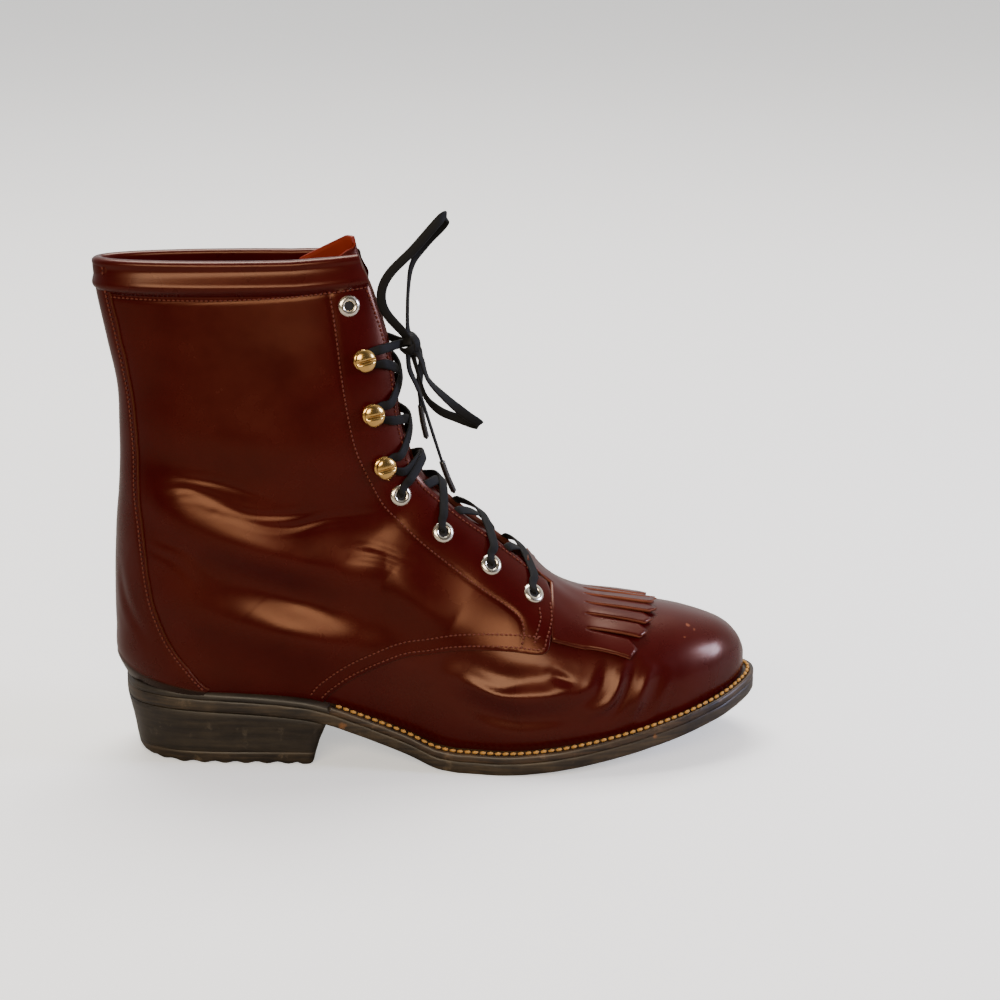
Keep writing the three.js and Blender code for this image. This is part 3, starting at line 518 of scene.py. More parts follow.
def wear_group():
    """Sparse fine scratches and rubbed spots."""
    tree, given, out = group(
        "Rubbed wear",
        [("Amount", "NodeSocketFloat", 0.5)],
        [("Scratches", "NodeSocketFloat"), ("Spots", "NodeSocketFloat")],
    )
    place = object_place(tree)
    warp = node(tree, "ShaderNodeTexNoise", {"Vector": place, "Scale": 22.0, "Detail": 3.0})
    bent = node(tree, "ShaderNodeVectorMath", {0: place, 1: warp.outputs["Color"]}, operation="ADD")
    turned = node(tree, "ShaderNodeMapping", {"Vector": bent.outputs[0], "Rotation": (0.3, 0.5, 0.2),
                                              "Scale": (0.25, 1.0, 1.0)})
    lines = node(tree, "ShaderNodeTexNoise", {"Vector": turned.outputs[0], "Scale": 260.0, "Detail": 2.0})
    cut = node(tree, "ShaderNodeMapRange", {"Value": lines.outputs["Fac"], "From Min": 0.66, "From Max": 0.74})
    spots = node(tree, "ShaderNodeTexNoise", {"Vector": place, "Scale": 85.0, "Detail": 6.0, "Roughness": 0.7})
    worn = node(tree, "ShaderNodeMapRange", {"Value": spots.outputs["Fac"], "From Min": 0.6, "From Max": 0.78})
    a = node(tree, "ShaderNodeMath", {0: cut.outputs[0], 1: given.outputs["Amount"]}, operation="MULTIPLY")
    b = node(tree, "ShaderNodeMath", {0: worn.outputs[0], 1: given.outputs["Amount"]}, operation="MULTIPLY")
    tree.links.new(a.outputs[0], out.inputs["Scratches"])
    tree.links.new(b.outputs[0], out.inputs["Spots"])
    return tree


def fresh_material(name):
    made = bpy.data.materials.new(name)
    made.use_nodes = True
    tree = made.node_tree
    tree.nodes.clear()
    shader = node(tree, "ShaderNodeBsdfPrincipled")
    out = node(tree, "ShaderNodeOutputMaterial")
    tree.links.new(shader.outputs[0], out.inputs["Surface"])
    return made, tree, shader


def mix_colour(tree, share, first, second, blend="MIX"):
    made = node(tree, "ShaderNodeMix", {0: share}, data_type="RGBA", blend_type=blend)
    for socket, value in zip((made.inputs[6], made.inputs[7]), (first, second)):
        if isinstance(value, bpy.types.NodeSocket):
            tree.links.new(value, socket)
        else:
            socket.default_value = value if len(value) == 4 else (*value, 1)
    return made.outputs[2]


def bump(tree, shader, height, strength, distance):
    made = node(tree, "ShaderNodeBump", {"Height": height, "Strength": strength, "Distance": distance})
    tree.links.new(made.outputs[0], shader.inputs["Normal"])


def leather_material(name, deep, light, roughness=0.3, coat=0.6, relief=1.0, wear=0.5, edge=None, inked=False):
    """Finished leather, lighter where it is rubbed and, with an edge colour, along its cut edges."""
    made, tree, shader = fresh_material(name)
    grain = place_group(tree, bpy.data.node_groups["Leather grain"], Scale=1.0, Relief=relief)
    rubbed = place_group(tree, bpy.data.node_groups["Rubbed wear"], Amount=wear)
    tone = node(tree, "ShaderNodeMapRange", {"Value": grain.outputs["Tone"], "From Min": 0.3, "From Max": 0.75})
    colour = mix_colour(tree, tone.outputs[0], deep, light)
    colour = mix_colour(tree, rubbed.outputs["Spots"], colour, [min(1, c * 1.8 + 0.006) for c in light])
    if edge:
        cut = node(tree, "ShaderNodeAttribute", attribute_name="cut_edge")
        colour = mix_colour(tree, cut.outputs["Fac"], colour, edge)
    if inked:
        ink = node(tree, "ShaderNodeAttribute", attribute_name="inked")
        colour = mix_colour(tree, ink.outputs["Fac"], colour, INK)
    tree.links.new(colour, shader.inputs["Base Color"])
    rough = node(tree, "ShaderNodeMapRange", {"Value": grain.outputs["Tone"], "From Min": 0.3, "From Max": 0.75,
                                              "To Min": roughness - 0.04, "To Max": roughness + 0.06})
    more = node(tree, "ShaderNodeMath", {0: rubbed.outputs["Scratches"], 1: 0.25}, operation="MULTIPLY")
    total = node(tree, "ShaderNodeMath", {0: rough.outputs[0], 1: more.outputs[0]}, operation="ADD")
    tree.links.new(total.outputs[0], shader.inputs["Roughness"])
    shader.inputs["Coat Weight"].default_value = coat
    shader.inputs["Coat Roughness"].default_value = 0.18
    shader.inputs["Specular IOR Level"].default_value = 0.36
    shader.inputs["Specular Tint"].default_value = (1.0, 0.5, 0.28, 1)
    bump(tree, shader, grain.outputs["Height"], 0.1, 0.0001)
    return made


# Worn places on the welt and sole edge: sole coordinates and radius in millimetres
EDGE_SCUFFS = [
    ((78, -35.5, 34.8), 3.2), ((104.5, -36, 21.6), 2.6), ((252.1, -43, 16.3), 1.3), ((280, -27.3, 18.7), 1.0),
]
# Small rubbed spots on the toe, in the same way
TOE_SCUFFS = [((269.7, -12.1, 60.9), 1.2), ((267.6, -19.3, 57.4), 0.9), ((272.5, -13.3, 59.2), 0.75)]
INK = (0.008, 0.006, 0.006)


def add_scuffs(made, scuffs, worn):
    """Rubbed spots where the boot was knocked."""
    tree = made.node_tree
    shader = next(n for n in tree.nodes if n.type == "BSDF_PRINCIPLED")
    place = object_place(tree)
    warp = node(tree, "ShaderNodeTexNoise", {"Vector": place, "Scale": 700.0, "Detail": 4.0})
    colour = shader.inputs["Base Color"].links[0].from_socket
    for centre, radius in scuffs:
        away = node(tree, "ShaderNodeVectorMath", {0: place, 1: Vector(to_row(centre))}, operation="DISTANCE")
        ragged = node(tree, "ShaderNodeMath", {0: warp.outputs["Fac"], 1: -0.0022, 2: 0.0011},
                      operation="MULTIPLY_ADD")
        edge = node(tree, "ShaderNodeMath", {0: away.outputs["Value"], 1: ragged.outputs[0]}, operation="ADD")
        spot = node(tree, "ShaderNodeMapRange", {"Value": edge.outputs[0], "From Min": radius * MM,
                                                 "From Max": radius * MM * 0.5})
        colour = mix_colour(tree, spot.outputs[0], colour, worn)
    tree.links.new(colour, shader.inputs["Base Color"])


def metal_material(name, colour, roughness):
    made, tree, shader = fresh_material(name)
    rubbed = place_group(tree, bpy.data.node_groups["Rubbed wear"], Amount=0.8)
    tarnish = mix_colour(tree, rubbed.outputs["Spots"], colour, [c * 0.55 for c in colour])
    tree.links.new(tarnish, shader.inputs["Base Color"])
    shader.inputs["Metallic"].default_value = 1.0
    rough = node(tree, "ShaderNodeMapRange", {"Value": rubbed.outputs["Scratches"], "To Min": roughness,
                                              "To Max": roughness + 0.25})
    tree.links.new(rough.outputs[0], shader.inputs["Roughness"])
    return made


def thread_material(name, colour):
    """Twisted waxed thread, mottled by fine noise in its tone and bump."""
    made, tree, shader = fresh_material(name)
    place = object_place(tree)
    noise = node(tree, "ShaderNodeTexNoise", {"Vector": place, "Scale": 900.0, "Detail": 3.0})
    tone = mix_colour(tree, noise.outputs["Fac"], [c * 0.5 for c in colour], [min(1, c * 1.3) for c in colour])
    tree.links.new(tone, shader.inputs["Base Color"])
    shader.inputs["Roughness"].default_value = 0.62
    shader.inputs["Specular IOR Level"].default_value = 0.2
    bump(tree, shader, noise.outputs["Fac"], 0.5, 0.0002)
    return made


def lace_material(name, colour):
    """Flat woven lace: a herringbone of fine yarns over the strand's own map."""
    made, tree, shader = fresh_material(name)
    uv = node(tree, "ShaderNodeUVMap", uv_map="UVMap").outputs[0]
    stretch = node(tree, "ShaderNodeMapping", {"Vector": uv, "Scale": (26.0, 11.0, 1.0)})
    waves = node(tree, "ShaderNodeTexWave", {"Vector": stretch.outputs[0], "Scale": 1.0, "Distortion": 0.4},
                 bands_direction="DIAGONAL")
    turned = node(tree, "ShaderNodeMapping", {"Vector": uv, "Scale": (-26.0, 11.0, 1.0)})
    other = node(tree, "ShaderNodeTexWave", {"Vector": turned.outputs[0], "Scale": 1.0, "Distortion": 0.4},
                 bands_direction="DIAGONAL")
    weave = node(tree, "ShaderNodeMath", {0: waves.outputs["Fac"], 1: other.outputs["Fac"]}, operation="MAXIMUM")
    tone = mix_colour(tree, weave.outputs[0], [c * 0.45 for c in colour], [min(1, c * 1.6) for c in colour])
    tree.links.new(tone, shader.inputs["Base Color"])
    shader.inputs["Roughness"].default_value = 0.7
    shader.inputs["Specular IOR Level"].default_value = 0.25
    shader.inputs["Sheen Weight"].default_value = 0.02
    shader.inputs["Sheen Roughness"].default_value = 0.4
    bump(tree, shader, weave.outputs[0], 0.6, 0.00025)
    return made


def aglet_material(name):
    """Smoked plastic rolled over the lace's end, a little scratched."""
    made, tree, shader = fresh_material(name)
    rubbed = place_group(tree, bpy.data.node_groups["Rubbed wear"], Amount=1.0)
    tree.links.new(mix_colour(tree, rubbed.outputs["Spots"], (0.016, 0.013, 0.011), (0.05, 0.042, 0.036)),
                   shader.inputs["Base Color"])
    rough = node(tree, "ShaderNodeMapRange", {"Value": rubbed.outputs["Scratches"], "To Min": 0.2, "To Max": 0.5})
    tree.links.new(rough.outputs[0], shader.inputs["Roughness"])
    shader.inputs["Coat Weight"].default_value = 0.8
    return made


def sole_material(name, deep, light, roughness):
    """Dark inked edge or rubber with streaks along it and scuffs."""
    made, tree, shader = fresh_material(name)
    place = object_place(tree)
    rubbed = place_group(tree, bpy.data.node_groups["Rubbed wear"], Amount=1.0)
    mottle = node(tree, "ShaderNodeTexNoise", {"Vector": place, "Scale": 60.0, "Detail": 6.0, "Roughness": 0.65})
    drawn = node(tree, "ShaderNodeMapping", {"Vector": place, "Scale": (1.0, 1.0, 14.0)})
    streaks = node(tree, "ShaderNodeTexNoise", {"Vector": drawn.outputs[0], "Scale": 45.0, "Detail": 5.0})
    both = node(tree, "ShaderNodeMath", {0: mottle.outputs["Fac"], 1: streaks.outputs["Fac"]}, operation="MULTIPLY")
    share = node(tree, "ShaderNodeMapRange", {"Value": both.outputs[0], "From Min": 0.16, "From Max": 0.42})
    colour = mix_colour(tree, share.outputs[0], deep, light)
    colour = mix_colour(tree, rubbed.outputs["Spots"], colour, [min(1, c * 1.9 + 0.02) for c in light])
    tree.links.new(colour, shader.inputs["Base Color"])
    rough = node(tree, "ShaderNodeMapRange", {"Value": mottle.outputs["Fac"], "To Min": roughness - 0.12,
                                              "To Max": roughness + 0.15})
    tree.links.new(rough.outputs[0], shader.inputs["Roughness"])
    bump(tree, shader, both.outputs[0], 0.35, 0.0004)
    return made


MATERIALS = {}


def make_materials(colours):
    grain_group()
    wear_group()
    oxblood, lit = tuple(colours.oxblood), tuple(colours.oxblood_light)
    MATERIALS["vamp"] = leather_material("Oxblood vamp leather", oxblood, lit, 0.27, 0.14, 0.9, 0.02,
                                         edge=(0.06, 0.016, 0.01))
    add_scuffs(MATERIALS["vamp"], TOE_SCUFFS, (0.17, 0.05, 0.025))
    MATERIALS["quarter"] = leather_material("Oxblood quarter leather", oxblood, lit, 0.25, 0.04, 0.9, 0.02,
                                            edge=(0.075, 0.02, 0.012))
    MATERIALS["strap"] = leather_material("Oxblood strap leather", oxblood, lit, 0.28, 0.05, 1.0, 0.03,
                                          edge=(0.08, 0.022, 0.012), inked=True)
    MATERIALS["collar"] = leather_material("Oxblood collar leather", oxblood, lit, 0.28, 0.12, 0.9, 0.05)
    MATERIALS["fringe"] = leather_material("Fringe leather", oxblood, lit, 0.3, 0.12, 1.0, 0.2)
    MATERIALS["cut leather"] = leather_material("Cut leather edge", (0.09, 0.022, 0.013), (0.21, 0.065, 0.035), 0.6,
                                                0.0, 1.6, 0.8)
    MATERIALS["red lining"] = leather_material("Red tongue lining", (0.13, 0.009, 0.004), (0.24, 0.022, 0.009), 0.55,
                                               0.0, 1.4, 0.6)
    MATERIALS["lining"] = lining_material("Shaft lining leather", (0.022, 0.004, 0.003), (0.05, 0.012, 0.007))
    MATERIALS["tongue"] = leather_material("Tongue leather", oxblood, lit, 0.33, 0.1, 1.0, 0.3)
    MATERIALS["insole"] = leather_material("Insole leather", (0.12, 0.06, 0.03), (0.26, 0.15, 0.08), 0.6, 0.0,
                                           1.5, 1.2)
    MATERIALS["seam thread"] = thread_material("Seam thread", tuple(colours.seam_thread))
    MATERIALS["welt thread"] = thread_material("Welt thread", tuple(colours.welt_thread))
    MATERIALS["nickel"] = metal_material("Polished nickel", (0.88, 0.8, 0.66), 0.2)
    MATERIALS["brass"] = metal_material("Polished brass", (0.76, 0.47, 0.15), 0.2)
    MATERIALS["aglet"] = aglet_material("Smoked aglet")
    MATERIALS["lace"] = lace_material("Black woven lace", (0.0042, 0.0036, 0.0033))
    MATERIALS["outsole"] = sole_material("Outsole", (0.011, 0.007, 0.0042), (0.062, 0.041, 0.021), 0.46)
    MATERIALS["welt"] = sole_material("Inked welt", (0.012, 0.0068, 0.004), (0.075, 0.042, 0.019), 0.42)
    for name in ("outsole", "welt"):
        add_scuffs(MATERIALS[name], EDGE_SCUFFS, (0.2, 0.085, 0.028))
    MATERIALS["heel"] = sole_material("Heel stack", (0.012, 0.0085, 0.0055), (0.036, 0.026, 0.016), 0.46)
    # Painted shade: near-black discs over the eyelets' holes stand in for the shadow inside them
    MATERIALS["dark"] = sole_material("Painted shade in an eyelet hole", (0.004, 0.003, 0.003), (0.008, 0.006, 0.005), 0.8)


def lining_material(name, deep, light):
    """Shaft lining: dark and smooth in front, rubbed to a rough olive brown at the back."""
    made = leather_material(name, deep, light, 0.45, 0.0, 1.4, 0.8)
    tree = made.node_tree
    shader = next(n for n in tree.nodes if n.type == "BSDF_PRINCIPLED")
    place = object_place(tree)
    along = node(tree, "ShaderNodeSeparateXYZ", {0: place}).outputs["X"]
    back = node(tree, "ShaderNodeMapRange", {"Value": along, "From Min": (SHIFT[0] + 44) * MM,
                                             "From Max": (SHIFT[0] + 14) * MM})
    rough = node(tree, "ShaderNodeTexNoise", {"Vector": place, "Scale": 130.0, "Detail": 7.0, "Roughness": 0.75})
    patch = node(tree, "ShaderNodeMapRange", {"Value": rough.outputs["Fac"], "From Min": 0.42, "From Max": 0.58})
    olive = mix_colour(tree, patch.outputs[0], (0.008, 0.006, 0.004), (0.075, 0.05, 0.022))
    before = shader.inputs["Base Color"].links[0].from_socket
    tree.links.new(mix_colour(tree, back.outputs[0], before, olive), shader.inputs["Base Color"])
    return made


# ---- the upper's panels ----------------------------------------------------------------------------------------


# Creases on the outer side: side view line, depth and half width in millimetres; below zero is a ridge
CREASES = [
    ([(33, 133), (43, 132), (66, 124), (92, 124)], 0.4, 1.5),
    ([(48, 126), (77, 118), (100, 121), (120, 121)], 0.4, 1.5),
    ([(22, 134), (36, 136), (59, 129)], 0.3, 1.4),
    ([(30, 141), (50, 139), (74, 131)], 0.25, 1.4),
    ([(108, 108), (119, 106), (138, 99)], 0.3, 1.5),
    ([(109, 102), (123, 100), (135, 95)], 0.25, 1.4),
    ([(20, 111), (34, 106), (47, 93)], 0.35, 1.4),
    ([(16, 106), (29, 100), (39, 88)], 0.35, 1.5),
    ([(8, 126), (35, 108), (63, 95), (86, 83), (118, 69)], 1.6, 7.5),
    ([(12, 126), (45, 110), (86, 100), (130, 95)], -4.1, 12.0),
    ([(15, 94), (44, 77), (81, 66), (116, 58)], -3.3, 11.5),
    ([(14, 150), (50, 143), (85, 138), (114, 137)], 1.0, 9.0),
    ([(124, 92), (140, 80), (158, 69)], -1.6, 9.0),
    ([(158, 46), (178, 38), (197, 38), (220, 41)], -1.9, 4.6),
    ([(164, 31), (185, 26), (205, 27), (224, 29)], 0.8, 4.2),
    ([(237, 50), (231, 35), (220, 27)], -1.15, 2.1),
    ([(250, 47), (245, 36), (240, 24)], -1.05, 2.0),
    ([(243, 50), (237, 35), (229, 23)], 0.9, 2.1),
    ([(256, 45), (251, 33), (246, 24)], 0.8, 2.2),
    ([(229, 51), (224, 39), (213, 32)], 0.8, 2.3),
    ([(202, 48), (214, 43)], 0.5, 2.0),
    ([(163, 47), (178, 41), (189, 43)], 0.35, 2.0),
    ([(2, 96), (5, 78), (14, 61)], 0.5, 2.6),
]

SEAMS = {
    "collar": [(-4.5, 222.9), (24.5, 222.4), (51.9, 222.3), (79.2, 223.3), (99.6, 224.6), (118, 226)],
    "eyestay": [(100.6, 230.1), (103.9, 206.2), (107.1, 179.3), (111.3, 155.2), (117.1, 139.9), (124.2, 125.4),
                (131.6, 117.2), (142.3, 106.8), (155.8, 95.8), (169.7, 85), (183.5, 75.6), (188.9, 70.3),
                (189.9, 64.4), (188.4, 58.5)],
}


def line_offset(line, distance):
    """A side view line moved to its left by a distance."""
    line = np.asarray(line, float)
    along = unit(np.gradient(line, axis=0))
    return line + np.stack([-along[:, 1], along[:, 0]], -1) * distance


def crease_height(points, side):
    height = np.zeros(len(points))
    for line, depth, width in CREASES:
        path, _ = skin_of(side).on(smooth_line(line, 2.0))
        distance, _, share, _ = nearest(points, path)
        fade = np.sin(np.pi * np.clip(share, 0.04, 0.96)) ** 0.7
        trough = np.exp(-((distance / width) ** 2))
        shoulder = 0.35 * np.exp(-(((distance - 2 * width) / width) ** 2))
        height += -depth * (trough - shoulder) * fade * (1 if side < 0 else 0.7)
    return height


def seam_height(points, lines, depth=0.28, width=0.9):
    height = np.zeros(len(points))
    for line in lines:
        distance, _, _, _ = nearest(points, line)
        height -= depth * np.exp(-((distance / width) ** 2))
    return height


def quarter_edge():
    """Side view line of the quarter's edge."""
    return smooth_line(above_feather(QUARTER_EDGE), 1.0)


def signed_to(line, points):
    """Side view distance to a line: above zero on its left."""
    distance, close, _, which = nearest(points, line)
    seg = line[which + 1] - line[which]
    off = points - line[which]
    cross = seg[:, 0] * off[:, 1] - seg[:, 1] * off[:, 0]
    return np.where(cross > 0, distance, -distance), close


def panel_points(skin, stations, columns, first_share, last_share):
    share = first_share[:, None] + (last_share - first_share)[:, None] * np.linspace(0, 1, columns)[None, :]
    station = np.broadcast_to(stations[:, None], share.shape)
    return skin.at(station, share)


def roll_edge(bm, edges, steps, outward, normal):
    """Extrudes border edges step by step: each step is a way outwards and a way down, in millimetres."""
    start = {v: v for e in edges for v in e.verts}
    for out, down in steps:
        made = bmesh.ops.extrude_edge_only(bm, edges=edges)["geom"]
        edges = [g for g in made if isinstance(g, bmesh.types.BMEdge)]
        fresh = {v for e in edges for v in e.verts}
        origin = {}
        for v in fresh:
            for e in v.link_edges:
                other = e.other_vert(v)
                if other not in fresh and other in start:
                    origin[v] = start[other]
                    break
        for v in fresh:
            base = origin[v]
            key = tuple(round(c, 9) for c in base.co)
            v.co = base.co + Vector(outward[key]) * out * MM - Vector(normal[key]) * down * MM
        start = {v: origin[v] for v in fresh}
    return edges


def rim_mesh(bm, is_rim, steps, flag):
    """Rolls the border vertices that is_rim picks over the leather's thickness and marks the cut edge."""
    layer = bm.verts.layers.float["cut_edge"]
    edges = [e for e in bm.edges if e.is_boundary and all(is_rim(v) for v in e.verts)]
    outward, normal = {}, {}
    bm.normal_update()
    for e in edges:
        face = e.link_faces[0]
        away = (e.verts[0].co + e.verts[1].co) / 2 - face.calc_center_median()
        for v in e.verts:
            key = tuple(round(c, 9) for c in v.co)
            outward[key] = outward.get(key, Vector()) + away
            normal[key] = v.normal.copy()
    for key, way in outward.items():
        n = normal[key]
        way = way - n * way.dot(n)
        outward[key] = way.normalized() if way.length > 0 else n
    before = set(bm.verts)
    roll_edge(bm, edges, steps, outward, normal)
    for v in bm.verts:
        if v not in before:
            v[layer] = flag


def make_vamp():
    bm = bmesh.new()
    stations = np.linspace(0.0, 11.6, 230)
    edge = quarter_edge()
    tip = {}
    for side in SIDES.values():
        skin = skin_of(side)
        first = np.array([skin.share_at_width(s, THROAT_HALF + 3) * min(max((s - 8) / 2, 0), 1) for s in stations])
        last = np.array([skin.share_at_feather(s, 2.0) for s in stations])
        points, normals = panel_points(skin, stations, 92, first, last)
        flat = points.reshape(-1, 3)
        inside, _ = signed_to(edge, flat[:, [0, 2]])
        height = crease_height(flat, side)
        height = np.where(inside < -2.0, np.minimum(height, 0.2), height)
        placed = (flat + normals.reshape(-1, 3) * height[:, None]).reshape(points.shape)
        placed[0, :, 1] = ROWS[0, 6]
        tip.setdefault("row", placed[0].copy())
        placed[0] = tip["row"]
        table = add_grid(bm, placed)
        hidden = inside.reshape(points.shape[:2]) < -7
        gone = [v for v, (i, j) in table.items() if hidden[i, j]]
        bmesh.ops.delete(bm, geom=gone, context="VERTS")
    close_seams(bm)
    face_out(bm)
    new_piece("vamp", bm, MATERIALS["vamp"])


def collar_stations(skin, stations, columns, first, last):
    """Stations of a shaft panel's rows, bent so that its last row follows the collar."""
    share = first[:, None] + (last - first)[:, None] * np.linspace(0, 1, columns)[None, :]
    top = np.empty(columns)
    for j in range(columns):
        column = np.linspace(20, LAST, 240)
        points, _ = skin.at(column, np.full(240, share[-1, j]))
        over = points[:, 2] - collar_height(points[:, 0])
        top[j] = np.interp(0, over, column)
    bend = np.clip((stations - 16) / (stations[-1] - 16), 0, 1)[:, None]
    station = stations[:, None] + (top[None, :] - stations[-1]) * bend
    return station, share


def make_quarters():
    """Quarters and shaft: one skived panel a side over the vamp, joined at the back."""
    bm = bmesh.new()
    stations = np.linspace(7.4, 22.4, 320)
    columns = 104
    edge = quarter_edge()
    bm.verts.layers.float.new("cut_edge")
    kinds = bm.verts.layers.int.new("rim_kind")
    for side in SIDES.values():
        skin = skin_of(side)
        first = np.array([skin.share_at_width(s, throat_half(s)) for s in stations])
        last = np.array([skin.share_at_feather(s, 1.5) for s in stations])
        station, share = collar_stations(skin, stations, columns, first, last)
        points, normals = skin.at(station, share)
        flat = points.reshape(-1, 3)
        inside, close = signed_to(edge, flat[:, [0, 2]])
        inside = -inside
        keep = (inside > 0).reshape(points.shape[:2])
        near = np.zeros_like(keep)
        near[:-1] |= ~keep[1:]
        near[1:] |= ~keep[:-1]
        near[:, :-1] |= ~keep[:, 1:]
        near[:, 1:] |= ~keep[:, :-1]
        near[:-1, :-1] |= ~keep[1:, 1:]
        near[1:, 1:] |= ~keep[:-1, :-1]
        near[:-1, 1:] |= ~keep[1:, :-1]
        near[1:, :-1] |= ~keep[:-1, 1:]
        border = keep & near
        snapped = flat.copy()
        pick = border.reshape(-1)
        on, on_normal = skin.on(close[pick])
        snapped[pick] = on
        normals = normals.reshape(-1, 3).copy()
        normals[pick] = on_normal
        lines = [skin_of(side).on(smooth_line(SEAMS[seam], 1.5))[0] for seam in ("collar", "eyestay")]
        height = QUARTER_STEP + crease_height(snapped, side) * 0.9 + seam_height(snapped, lines)
        height += 0.16 / (1 + np.exp(signed_eyestay(snapped) / 0.5))
        placed = snapped + normals * height[:, None]
        table = add_grid(bm, placed.reshape(points.shape))
        for v, (i, j) in table.items():
            if border[i, j]:
                v[kinds] = 1
            elif i == len(stations) - 1:
                v[kinds] = 2
            elif j == 0:
                v[kinds] = 3
        gone = [v for v, (i, j) in table.items() if not keep[i, j]]
        bmesh.ops.delete(bm, geom=gone, context="VERTS")
    close_seams(bm)
    face_out(bm)
    rim_mesh(bm, lambda v: v[kinds] == 1, [(0.22, 0.12), (0.34, 0.5), (0.3, 1.3)], 1.0)
    rim_mesh(bm, lambda v: v[kinds] in (2, 3),
             [(0.35, 0.15), (0.6, 0.7), (0.65, 1.7), (0.6, 2.7), (0.3, 3.2), (-0.6, 3.4), (-4, 3.4)], 0.8)
    new_piece("quarters", bm, MATERIALS["quarter"])


def signed_eyestay(points):
    """Side view distance behind the eyestay seam: below zero towards the throat."""
    line = smooth_line(SEAMS["eyestay"], 1.5)
    signed, _ = signed_to(line, points[:, [0, 2]])
    return -signed


def make_lining():
    bm = bmesh.new()
    stations = np.linspace(5.0, 22.4, 120)
    for side in SIDES.values():
        skin = skin_of(side)
        first = np.array([skin.share_at_width(s, THROAT_HALF + 1) if s > 8 else 0.0 for s in stations])
        last = np.array([skin.share_at_feather(s, 1.0) for s in stations])
        station, share = collar_stations(skin, stations, 60, first, last)
        points, normals = skin.at(station, share)
        placed = points - normals * WALL
        add_grid(bm, placed)
    close_seams(bm)
    face_out(bm)
    bmesh.ops.reverse_faces(bm, faces=bm.faces)
    new_piece("shaft_lining", bm, MATERIALS["lining"], ["upper"])


def make_back_strap():
    """Strap up the back that widens into the counter's cover."""
    edge = smooth_line(above_heel(STRAP_EDGE), 1.0)
    rows, columns = 200, 60
    stations = np.linspace(12.6, 22.4, rows)
    bm = bmesh.new()
    bm.verts.layers.float.new("cut_edge")
    bm.verts.layers.int.new("rim_kind")
    inked = bm.verts.layers.float.new("inked")
    kinds = bm.verts.layers.int["rim_kind"]
    for side in SIDES.values():
        skin = skin_of(side)
        first = np.empty(rows)
        for k, s in enumerate(stations):
            line = skin.sample(skin.points, np.full(len(skin.around), s), skin.around)
            inside, _ = signed_to(edge, line[:, [0, 2]])
            behind = inside < 0
            first[k] = skin.around[int(np.argmax(behind))] if behind.any() else 1.0
        first = np.convolve(np.pad(first, 3, mode="edge"), np.ones(7) / 7, mode="valid")
        last = np.array([skin.share_at_feather(s, 1.5) for s in stations])
        last = np.maximum(last, first + 0.002)
        station, share = collar_stations(skin, stations, columns, first, last)
        points, normals = skin.at(station, share)
        flat = points.reshape(-1, 3)
        height = QUARTER_STEP + 1.15 + crease_height(flat, side) * 0.8
        reach = np.linalg.norm(points - points[:, :1], axis=-1).reshape(-1)
        height -= 0.25 * np.exp(-(((reach - 2.2) / 0.8) ** 2))
        lip = feather(flat[:, 0]) + 6.2 * np.clip((50 - flat[:, 0]) / 50, 0, 1) ** 1.3
        lip += 4.6 * np.exp(-np.maximum(flat[:, 0], 0) / 5)
        under = np.clip((lip - flat[:, 2]) / 0.9 + 0.5, 0, 1)
        height += 0.45 * under
        placed = flat + normals.reshape(-1, 3) * height[:, None]
        table = add_grid(bm, placed.reshape(points.shape))
        for v, (i, j) in table.items():
            v[inked] = under[i * columns + j]
            if j == 0:
                v[kinds] = 1
    close_seams(bm)
    face_out(bm)
    rim_mesh(bm, lambda v: v[kinds] == 1, [(0.2, 0.12), (0.3, 0.5), (0.28, 1.3)], 1.0)
    new_piece("back_strap_leather", bm, MATERIALS["strap"], ["back_strap"])


# Collar roll: way down from the rim, and height over the quarter, in millimetres
COLLAR_ROLL = [
    (15.4, -0.1), (14.8, 0.5), (13.8, 1.5), (12.6, 2.5), (11.3, 3.0), (9.9, 2.85), (8.1, 2.2), (6.3, 1.55),
    (4.9, 1.15), (3.6, 0.95), (2.7, 1.1), (1.5, 1.4), (0.3, 1.2), (-0.6, 0.4), (-1.1, -0.8), (-1.15, -2.2),
    (-0.6, -3.4), (0.4, -3.95), (2.0, -4.0), (6.0, -3.8), (9.0, -3.6),
]


def make_collar_band():
    bm = bmesh.new()
    profile = smooth_line(COLLAR_ROLL, 0.5)
    for side in SIDES.values():
        skin = skin_of(side)
        columns = 150
        first = np.array([skin.share_at_width(22.0, throat_half(22.0))])
        last = np.array([1.0])
        station, share = collar_stations(skin, np.array([7.4, 22.4]), columns, np.repeat(first, 2), np.repeat(last, 2))
        rim, rim_normal = skin.at(station[-1], share[-1])
        below, _ = skin.at(station[-1] - 1.4, share[-1])
        down = unit(below - rim)
        grid = (rim[None] + down[None] * profile[:, 0][:, None, None]
                + rim_normal[None] * (profile[:, 1] + QUARTER_STEP)[:, None, None])
        add_grid(bm, grid)
    close_seams(bm)
    face_out(bm)
    new_piece("collar_roll", bm, MATERIALS["collar"], ["collar_band"])


# ---- seams ----------------------------------------------------------------------------------------------------


